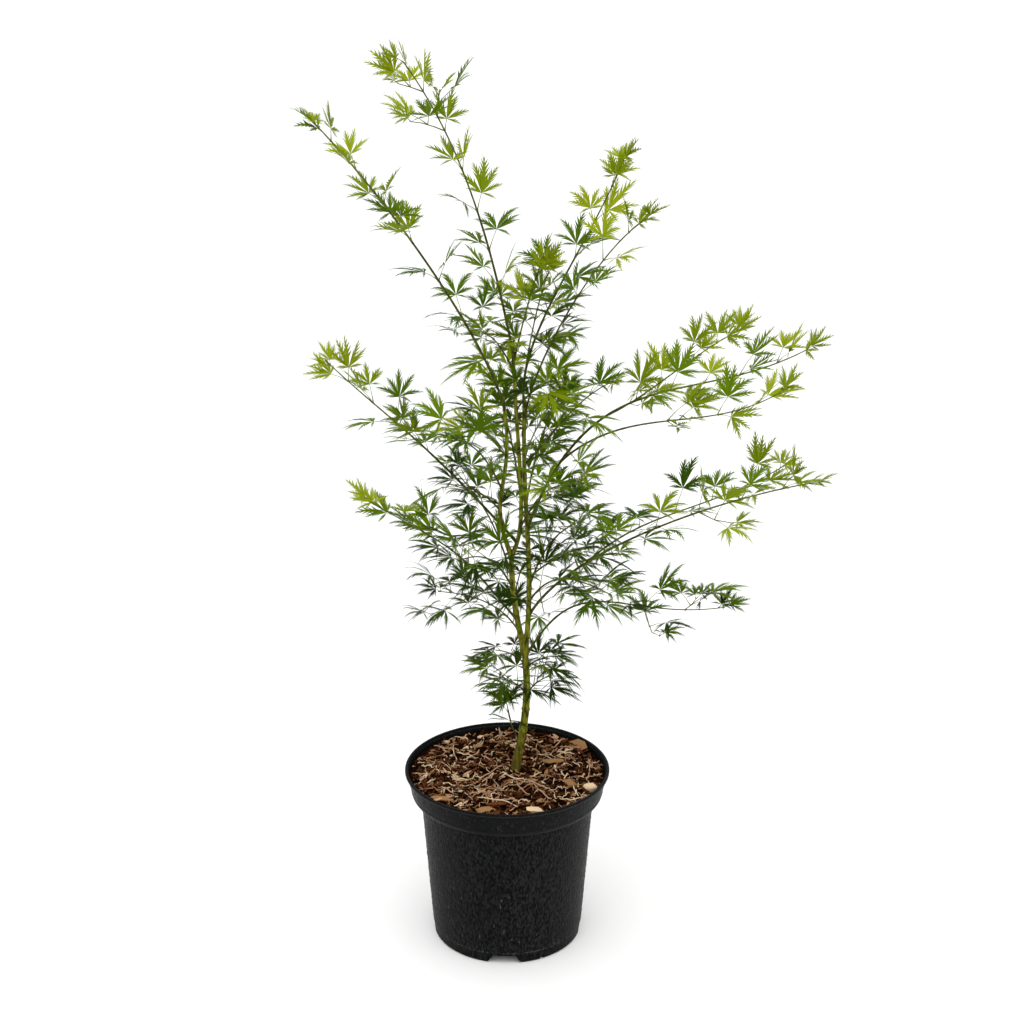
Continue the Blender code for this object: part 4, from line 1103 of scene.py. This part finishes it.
def leafBlade(root, axis, normal, pose, rng):
    side = normal.cross(axis)
    old = pose["old"]
    corners, faces = [root], []
    fold = between(leafLook["fold"], old) + stray(rng, leafLook["foldStray"])
    squeeze = 1 - leafLook["oldTip"] * (old - 0.3) * 2
    cuts = [cut * squeeze for cut in leafLook["cuts"]]
    count = len(cuts)
    fan = between(habit["fan"], old)
    longer = 1 + leafLook["oldLonger"] * old
    for angle, share in leafLook["lobes"]:
        turn = math.radians(angle * fan + stray(rng, leafLook["wander"]))
        out = axis * math.cos(turn) + side * math.sin(turn)
        across = side * math.cos(turn) - axis * math.sin(turn)
        length = pose["reach"] * share * rng.uniform(*leafLook["lobeLengths"]) * longer
        tilt = stray(rng, leafLook["lobeTilt"])
        swing = stray(rng, leafLook["swing"]) * (0.5 + old)
        hang = pose["droop"] * rng.uniform(*leafLook["hang"])
        arch = rng.uniform(*leafLook["arch"])
        wide = rng.uniform(*leafLook["lobeWidths"]) * between(leafLook["slender"], old)

        def place(x, y):
            thread = leafLook["tipFall"] * old * max(x - leafLook["threadFrom"], 0) ** 2
            fall = hang * x ** 1.7 - arch * x * (1 - x) + thread * leafLook["tipBend"]
            return root + (out * x + across * (y * wide + swing * x * x)
                           + normal * (fold * abs(y) * wide + tilt * x) - up * fall) * length

        first = len(corners)
        corners.extend(place(x, 0) for x in cuts)                    # the lobe's middle
        corners.append(place(1, 0))
        for sign in (1, -1):
            edge = len(corners)
            corners.extend(place(x, sign * half) for x, half in zip(cuts, leafLook["half"]))
            tooth = len(corners)
            for cut, stand in zip(cuts[1:], leafLook["teeth"]):
                stand *= rng.uniform(*leafLook["toothSizes"])
                ahead = leafLook["ahead"] * rng.uniform(*leafLook["aheadSizes"])
                corners.append(place(cut + ahead, sign * stand))
            made = [(0, edge, first), (first + count - 1, edge + count - 1, first + count)]
            for k in range(count - 1):
                made.append((first + k, edge + k, edge + k + 1, first + k + 1))
                made.append((edge + k, tooth + k, edge + k + 1))
            faces.extend(face[::-1] if sign > 0 else face for face in made)
    return corners, faces


def shapeOf(corners, faces):
    # what a room compares: the faces and the box round them
    low = [min(c[i] for c in corners) for i in range(3)]
    high = [max(c[i] for c in corners) for i in range(3)]
    return BVHTree.FromPolygons(corners, faces), low, high


class Room:
    # what stands in the way of a new leaf or twig
    def __init__(self):
        self.solids = []

    def add(self, shape, owner):
        self.solids.append((shape, owner))

    def blocked(self, shape, skip=None):
        tree, low, high = shape
        for (other, otherLow, otherHigh), owner in self.solids:
            if owner == skip or any(low[i] > otherHigh[i] or high[i] < otherLow[i] for i in range(3)):
                continue
            if tree.overlap(other):
                return True
        return False


def addLimb(heap, limb, shares, radii, sides, relief=None):
    addTube(heap, [limb.point(t) for t in shares], [limb.direction(t) for t in shares], radii, sides, relief)


def thinTube(limb, start, end, sides=4, ring=0.02):
    # a plain limb, as a heap and as a shape
    heap = Heap()
    shares = evenly(start, end, max(1, round(limb.length(start, end) / ring)))
    addLimb(heap, limb, shares, [limb.radius(t) for t in shares], sides)
    return heap, shapeOf(heap.corners, heap.faces)


# bark on trunk, stems and boughs
bark = {
    "trunkSides": 22,
    "trunkRing": 0.0016,
    "boughSides": 10,
    "boughRing": 0.0032,
    "twigSides": 6,
    "twigRing": 0.006,
    "furrow": 0.045,             # depth of the fine lengthwise furrows, as a share of the radius
    "furrowScale": (4, 90),      # round the limb and along it
    "lump": 0.05,                # slow swellings
    "lumpScale": 60,
    "joint": 0.16,               # swelling at a joint, and the fine groove below it
    "groove": 0.05,
    "jointLong": 0.0026,
    "jointEvery": 0.034,         # joints on the bare limbs
    "trunkJoints": (0.7, 0.4),   # how far the first and the last joint are from the ends
    "boughJoints": (0.8, 0.3),
    "foot": 0.55,                # how much a limb widens where it leaves its parent
    "footLong": 0.0070,
    "lenticel": 0.21,            # raised pores
    "lenticelLeast": 0.45,
    "lenticelScale": (3.2, 620),
    "greenBelow": 0.35,          # the age below which a stem is still green
    "shortest": 0.02,            # least share of a limb that is brown
    "seedStep": 3.1,
}


def addBark(heap, limb, start, end, kind, joints, seed, flare=True):
    # a limb with furrows, pores, swollen joints and a widened foot
    length = limb.length(start, end, 40)
    steps = max(2, round(length / bark[kind + "Ring"]))
    shares, away = evenly(start, end, steps), evenly(0, length, steps)
    radii = []
    for t, far in zip(shares, away):
        radius = limb.radius(t)
        if flare and limb.row["parent"]:
            radius *= 1 + bark["foot"] * math.exp(-far / bark["footLong"])
        for joint in joints:
            near = (far - length * (joint - start) / (end - start)) / bark["jointLong"]
            if abs(near) < 4:
                groove = bark["groove"] * math.exp(-(near + 1.6) ** 2 * 3)
                radius *= 1 + bark["joint"] * math.exp(-near * near) - groove
        radius *= 1 + bark["lump"] * noise.noise(Vector((far * bark["lumpScale"], seed, 0)))
        radii.append(radius)

    def relief(i, turn):
        x, y, z = math.cos(turn), math.sin(turn), away[i]
        around, along = bark["furrowScale"]
        furrow = noise.noise(Vector((x * around + seed, y * around, z * along)))
        around, along = bark["lenticelScale"]
        pore = max(noise.noise(Vector((x * around, y * around + seed, z * along))) - bark["lenticelLeast"], 0)
        return 1 + bark["furrow"] * furrow + bark["lenticel"] * pore

    addLimb(heap, limb, shares, radii, bark[kind + "Sides"], relief)


# what a piece of bark or stalk looks like: material, slot, dark and pale tone, brown near the mulch
woody = {
    "trunkAndStems": ("trunkBark", "bark", (0.028, 0.030, 0.0025), (0.215, 0.215, 0.016),
                      (0.095, 0.066, 0.012)),
    "boughs": ("boughBark", "bark", (0.026, 0.030, 0.005), (0.080, 0.088, 0.014)),
    "youngStems": ("youngBark", "leaf_green", (0.048, 0.062, 0.008), (0.120, 0.145, 0.020)),
    "leafStalks": ("stalkGreen", "leaf_green", (0.090, 0.118, 0.014), (0.180, 0.205, 0.030)),
    "buds": ("budBrown", "bark", (0.060, 0.060, 0.016), (0.130, 0.110, 0.030)),
}
brownHeight = 0.075


def barkFinish(name, low, high, foot=None):
    # two tones of bark in lengthwise streaks
    material, shader, streaks = newMaterial(name, low, gloss=0.06, rough=(0.55, 0.42, 0.70),
                                            scale=260, stretch=(1, 1, 0.25), detail=6)
    tone = ramp(streaks, [(0.38, low), (0.62, high)])
    if foot:
        near = spread(heightOn(material.node_tree), 0.75, 0.0, mulchTop, mulchTop + brownHeight)
        tone = mixed(near, tone, (*foot, 1), data_type="RGBA")
    feed(shader["Base Color"], tone)
    addBump(shader, streaks, strength=0.5, distance=0.0004)
    return material


# leaf tones from the young tips to the old leaves inside the crown: the old leaves' own deeper green, made
# darker still as painted shade
leafTones = (
    ("Lime", (0.245, 0.302, 0.005)),
    ("Fresh", (0.161, 0.220, 0.003)),
    ("Bright", (0.095, 0.160, 0.0015)),
    ("Middle", (0.060, 0.114, 0.001)),
    ("Deep", (0.035, 0.078, 0.0008)),
    ("Dark", (0.018, 0.042, 0.0006)),
)
crown = {
    "toneReach": 0.92,           # how far through the tones the oldest leaves come
    "paintedShadeTop": 0.62,              # below this height a spray is darker, as painted shade,
    "paintedShadeFade": 0.10,             # fully so this much lower,
    "paintedShadeShare": 0.36,           # by this share of the tones
    "toneStray": 0.80,           # how far a spray's tone strays, in steps of the tones
    "leafStray": (1.2, 2.1),     # how far a leaf's tone strays in its spray, young and old
    "tipBud": 0.0022,            # length of the buds at the joints
    "pieceMost": 190000,         # triangles in one piece
    "extraPairs": (0.0, 0.85),   # chance of another pair of leaves between two joints, young and old
    "extraTwigs": 0.35,          # chance that an extra leaf stands on a short twig of its own
    "extraTwigLength": (0.012, 0.030),
    "extraSmaller": 0.86,
    "extraThinner": 0.8,
    "extraSpread": (40, 62),     # degrees between such a leaf and the stem
    "extraStray": 0.15,          # how far the pair leaves the middle between two joints
    "extraTips": (0.96, 0, 0.7), # place, turn and spread of the small leaves at such a twig's end
    "tipYounger": 0.15,
    "tipPaler": 0.12,
    "overMulch": 0.003,          # clearance of a leaf over the mulch
    "stalkBow": 0.05,
}


def leafFinish(name, colour):
    material, shader, grain = newMaterial("leaf" + name, colour, gloss=0.03, rough=(0.5, 0.42, 0.62),
                                          scale=520, detail=3)
    addBump(shader, grain, strength=0.35, distance=0.0005)
    return material


class Crown:
    # every leaf, stalk and twig that grows, kept apart by kind and tone
    def __init__(self):
        self.room = Room()
        self.leaves = {name: [] for name, _ in leafTones}
        self.leafNodes = {name: set() for name, _ in leafTones}
        self.heaps = {name: Heap() for name in woody}
        self.count = 0

    def placeLeaf(self, foot, out, pose, mass, tone, fine):
        for attempt, (yaw, pitch) in enumerate([(0, 0)] + pose["turns"]):
            rise = out.z * habit["toLight"] + pose["lift"] + pitch * habit["tryRise"]
            along = Matrix.Rotation(yaw, 3, "Z") @ Vector((out.x, out.y, rise)).normalized()
            root = foot + along * pose["stalk"] * (1 + habit["tryLonger"] * attempt)
            axis = (along - up * pose["dip"]).normalized()
            normal = up + pose["lean"]
            normal = (normal - axis * normal.dot(axis)).normalized()
            blade = leafBlade(root, axis, normal, pose, random.Random(fine))
            shape = shapeOf(*blade)
            if shape[1][2] <= mulchTop + crown["overMulch"] or self.room.blocked(shape):
                continue
            self.room.add(shape, (mass, "leaf"))
            heaps = self.leaves[tone]
            if not heaps or heaps[-1].triangles > crown["pieceMost"]:
                heaps.append(Heap())
            heaps[-1].add(*blade)
            self.leafNodes[tone].add(mass)
            bow = (foot + root) / 2 + up * (root - foot).length * crown["stalkBow"]
            radii = [leafLook["stalkFoot"] * 1.5, leafLook["stalkTop"], leafLook["stalkTop"]]
            addCurve(self.heaps["leafStalks"], [foot, bow, root], radii, 4)
            self.count += 1
            return True
        return False

    def addTwig(self, heap, shape, mass):
        self.room.add(shape, (mass, "twig"))
        self.heaps["youngStems"].add(heap.corners, heap.faces)

    def addBuds(self, limb, shares):
        for i, t in enumerate(shares):
            along = limb.direction(t)
            for sign in (1, -1):
                out = Matrix.Rotation(i * math.pi / 2, 3, along) @ acrossFrom(along) * sign
                foot = limb.point(t) + out * limb.radius(t) * 0.7
                tip = foot + (out * 0.6 + along).normalized() * crown["tipBud"]
                half = crown["tipBud"] * 0.30
                radii = [half * 0.8, half, half * 0.1]
                addCurve(self.heaps["buds"], [foot, foot * 0.5 + tip * 0.5, tip], radii, 5)


def toneFor(age, rng):
    # the tone of one leaf of a spray
    last = len(leafTones) - 1
    step = age * last + stray(rng, between(crown["leafStray"], clamp(age)))
    return leafTones[min(max(round(step), 0), last)][0]


def sprayTone(limb, t, age, rng):
    # painted shade: sprays low in the crown are moved toward the darker tones
    low = clamp((crown["paintedShadeTop"] - limb.point(t).z) / crown["paintedShadeFade"])
    tone = min(age + crown["paintedShadeShare"] * low, 1) * crown["toneReach"]
    return tone + rng.uniform(-1, 1) * crown["toneStray"] / (len(leafTones) - 1)


def clearStart(limb, parent):
    # the first share of a limb that is clear of the limb it leaves
    axis = [(parent.point(t), max(parent.radius(t), habit["twigLeast"])) for t in evenly(0, 1, 200)]
    radius = max(limb.radius(0), habit["twigLeast"])
    t = 0.0
    while min((limb.point(t) - point).length - wide for point, wide in axis) < radius + gap:
        t += 0.001
    return t


def growMass(parts, limb, start, mass):
    # the mass by the rule of the solids; returns its joints
    rng = random.Random(limb.row["seed"])
    fine = random.Random(limb.row["seed"] * 13 + 5)
    joints, tones = [], {}
    for t, age, twig, leaves in growth(limb, start, rng):
        if t not in tones:
            tones[t] = sprayTone(limb, t, age, fine)
            joints.append((t, age))
        if twig:
            heap, shape = thinTube(twig, 0, 1)
            if parts.room.blocked(shape, (mass, "twig")):
                continue
            parts.addTwig(heap, shape, mass)
        for leaf in leaves:
            parts.placeLeaf(*leaf, mass, toneFor(tones[t], fine), fine.random())
    fillMass(parts, limb, start, mass, joints, fine)
    return joints


def fillMass(parts, limb, start, mass, joints, rng):
    # finer growth between the joints
    before = start
    for t, age in joints:
        middle = (before + t) / 2 + stray(rng, crown["extraStray"]) * (t - before)
        before = t
        if rng.random() > between(crown["extraPairs"], age * age):
            continue
        spreadAngle = math.radians(rng.uniform(*crown["extraSpread"]))
        tone = sprayTone(limb, middle, age, rng)
        for foot, out, pose in leafPair(limb, middle, rng.uniform(0, math.pi), spreadAngle, rng, age):
            pose["reach"] *= crown["extraSmaller"]
            if rng.random() >= crown["extraTwigs"]:
                parts.placeLeaf(foot, out, pose, mass, toneFor(tone, rng), rng.random())
                continue
            length = rng.uniform(*crown["extraTwigLength"])
            twig = sideTwig(foot, out, length, habit["twigThinnest"] * crown["extraThinner"])
            young = max(age - crown["tipYounger"], 0)
            tips = leafPair(twig, *crown["extraTips"], rng, young, True) + [endLeaf(twig, 1, rng, young)]
            heap, shape = thinTube(twig, 0, 1)
            if parts.room.blocked(shape, (mass, "twig")):
                continue
            paler = max(tone - crown["tipPaler"], 0)
            if any([parts.placeLeaf(*tip, mass, toneFor(paler, rng), rng.random()) for tip in tips]):
                parts.addTwig(heap, shape, mass)


def bareJoints(limb, first, last):
    bare = limb.row["bare"]
    count = max(1, int(limb.length(0, bare) / bark["jointEvery"]))
    return [bare * (j + first) / (count + last) for j in range(count)]


def addStems(parts, limb, joints, seed):
    # a limb's bark, brown as far as it is old and green beyond
    if limb.row["bare"] == 1:
        places = bareJoints(limb, *bark["trunkJoints"])
        addBark(parts.heaps["trunkAndStems"], limb, 0, 1, "trunk", places, seed)
        parts.addBuds(limb, places[1:])
        return
    places = [t for t, _ in joints]
    old = [t for t, age in joints if age > bark["greenBelow"]]
    turnPoint = old[-1] if old else limb.row["bare"]
    parts.addBuds(limb, places[:-1])
    if limb.row["bare"] > 0:
        places = bareJoints(limb, *bark["boughJoints"]) + places
    brown = turnPoint > bark["shortest"]
    if brown:
        lower = [t for t in places if t <= turnPoint]
        addBark(parts.heaps["boughs"], limb, 0, turnPoint, "bough", lower, seed)
    if turnPoint < habit["stemEnd"]:
        upper = [t for t in places if t >= turnPoint]
        addBark(parts.heaps["youngStems"], limb, turnPoint, habit["stemEnd"], "twig", upper, seed, not brown)


def makePlant():
    parts = Crown()
    solid = frame["nodes"]["pot"].data
    shape = shapeOf([v.co.copy() for v in solid.vertices], [tuple(p.vertices) for p in solid.polygons])
    parts.room.add(shape, "pot")
    limbs = {}
    for name, row in limbRows.items():
        parent = limbs.get(row["parent"])
        limbs[name] = Limb(name, parent.point(row["at"]) if parent else trunkFoot, row)
    for limb in limbs.values():
        if limb.row["bare"] > 0:
            parts.room.add(thinTube(limb, 0, limb.row["bare"], 6)[1], limb.name)
    masses = []
    for limb in limbs.values():
        bare = limb.row["bare"]
        if bare < 1:
            mass = limb.name.rsplit("_", 1)[0] + "_foliage"
            start = bare + gap / limb.reach.length
            if bare == 0:
                start = clearStart(limb, limbs[limb.row["parent"]])
            parts.room.add(thinTube(limb, start, habit["stemEnd"])[1], (mass, "twig"))
            masses.append((limb, start, mass))
    joints = {limb.name: growMass(parts, limb, start, mass) for limb, start, mass in masses}
    print(f"  {parts.count} leaves")

    for i, limb in enumerate(limbs.values()):
        addStems(parts, limb, joints.get(limb.name), i * bark["seedStep"])
    masses = [mass for _, _, mass in masses]
    nodes = {
        "trunkAndStems": [name for name, row in limbRows.items() if row["bare"] == 1],
        "boughs": [name for name, row in limbRows.items() if 0 < row["bare"] < 1],
        "youngStems": masses,
        "leafStalks": masses,
        "buds": (),
    }
    for name, (look, slot, *tones) in woody.items():
        makePiece(name, parts.heaps[name], barkFinish(look, *tones), slot, nodes[name])
    for name, colour in leafTones:
        finish = leafFinish(name, colour)
        slot = "leaf_lime" if name in ("Lime", "Fresh") else "leaf_green"
        for i, heap in enumerate(parts.leaves[name]):
            makePiece(f"leaves{name}_{i}", heap, finish, slot, parts.leafNodes[name])


makePlant()
print("plant done")
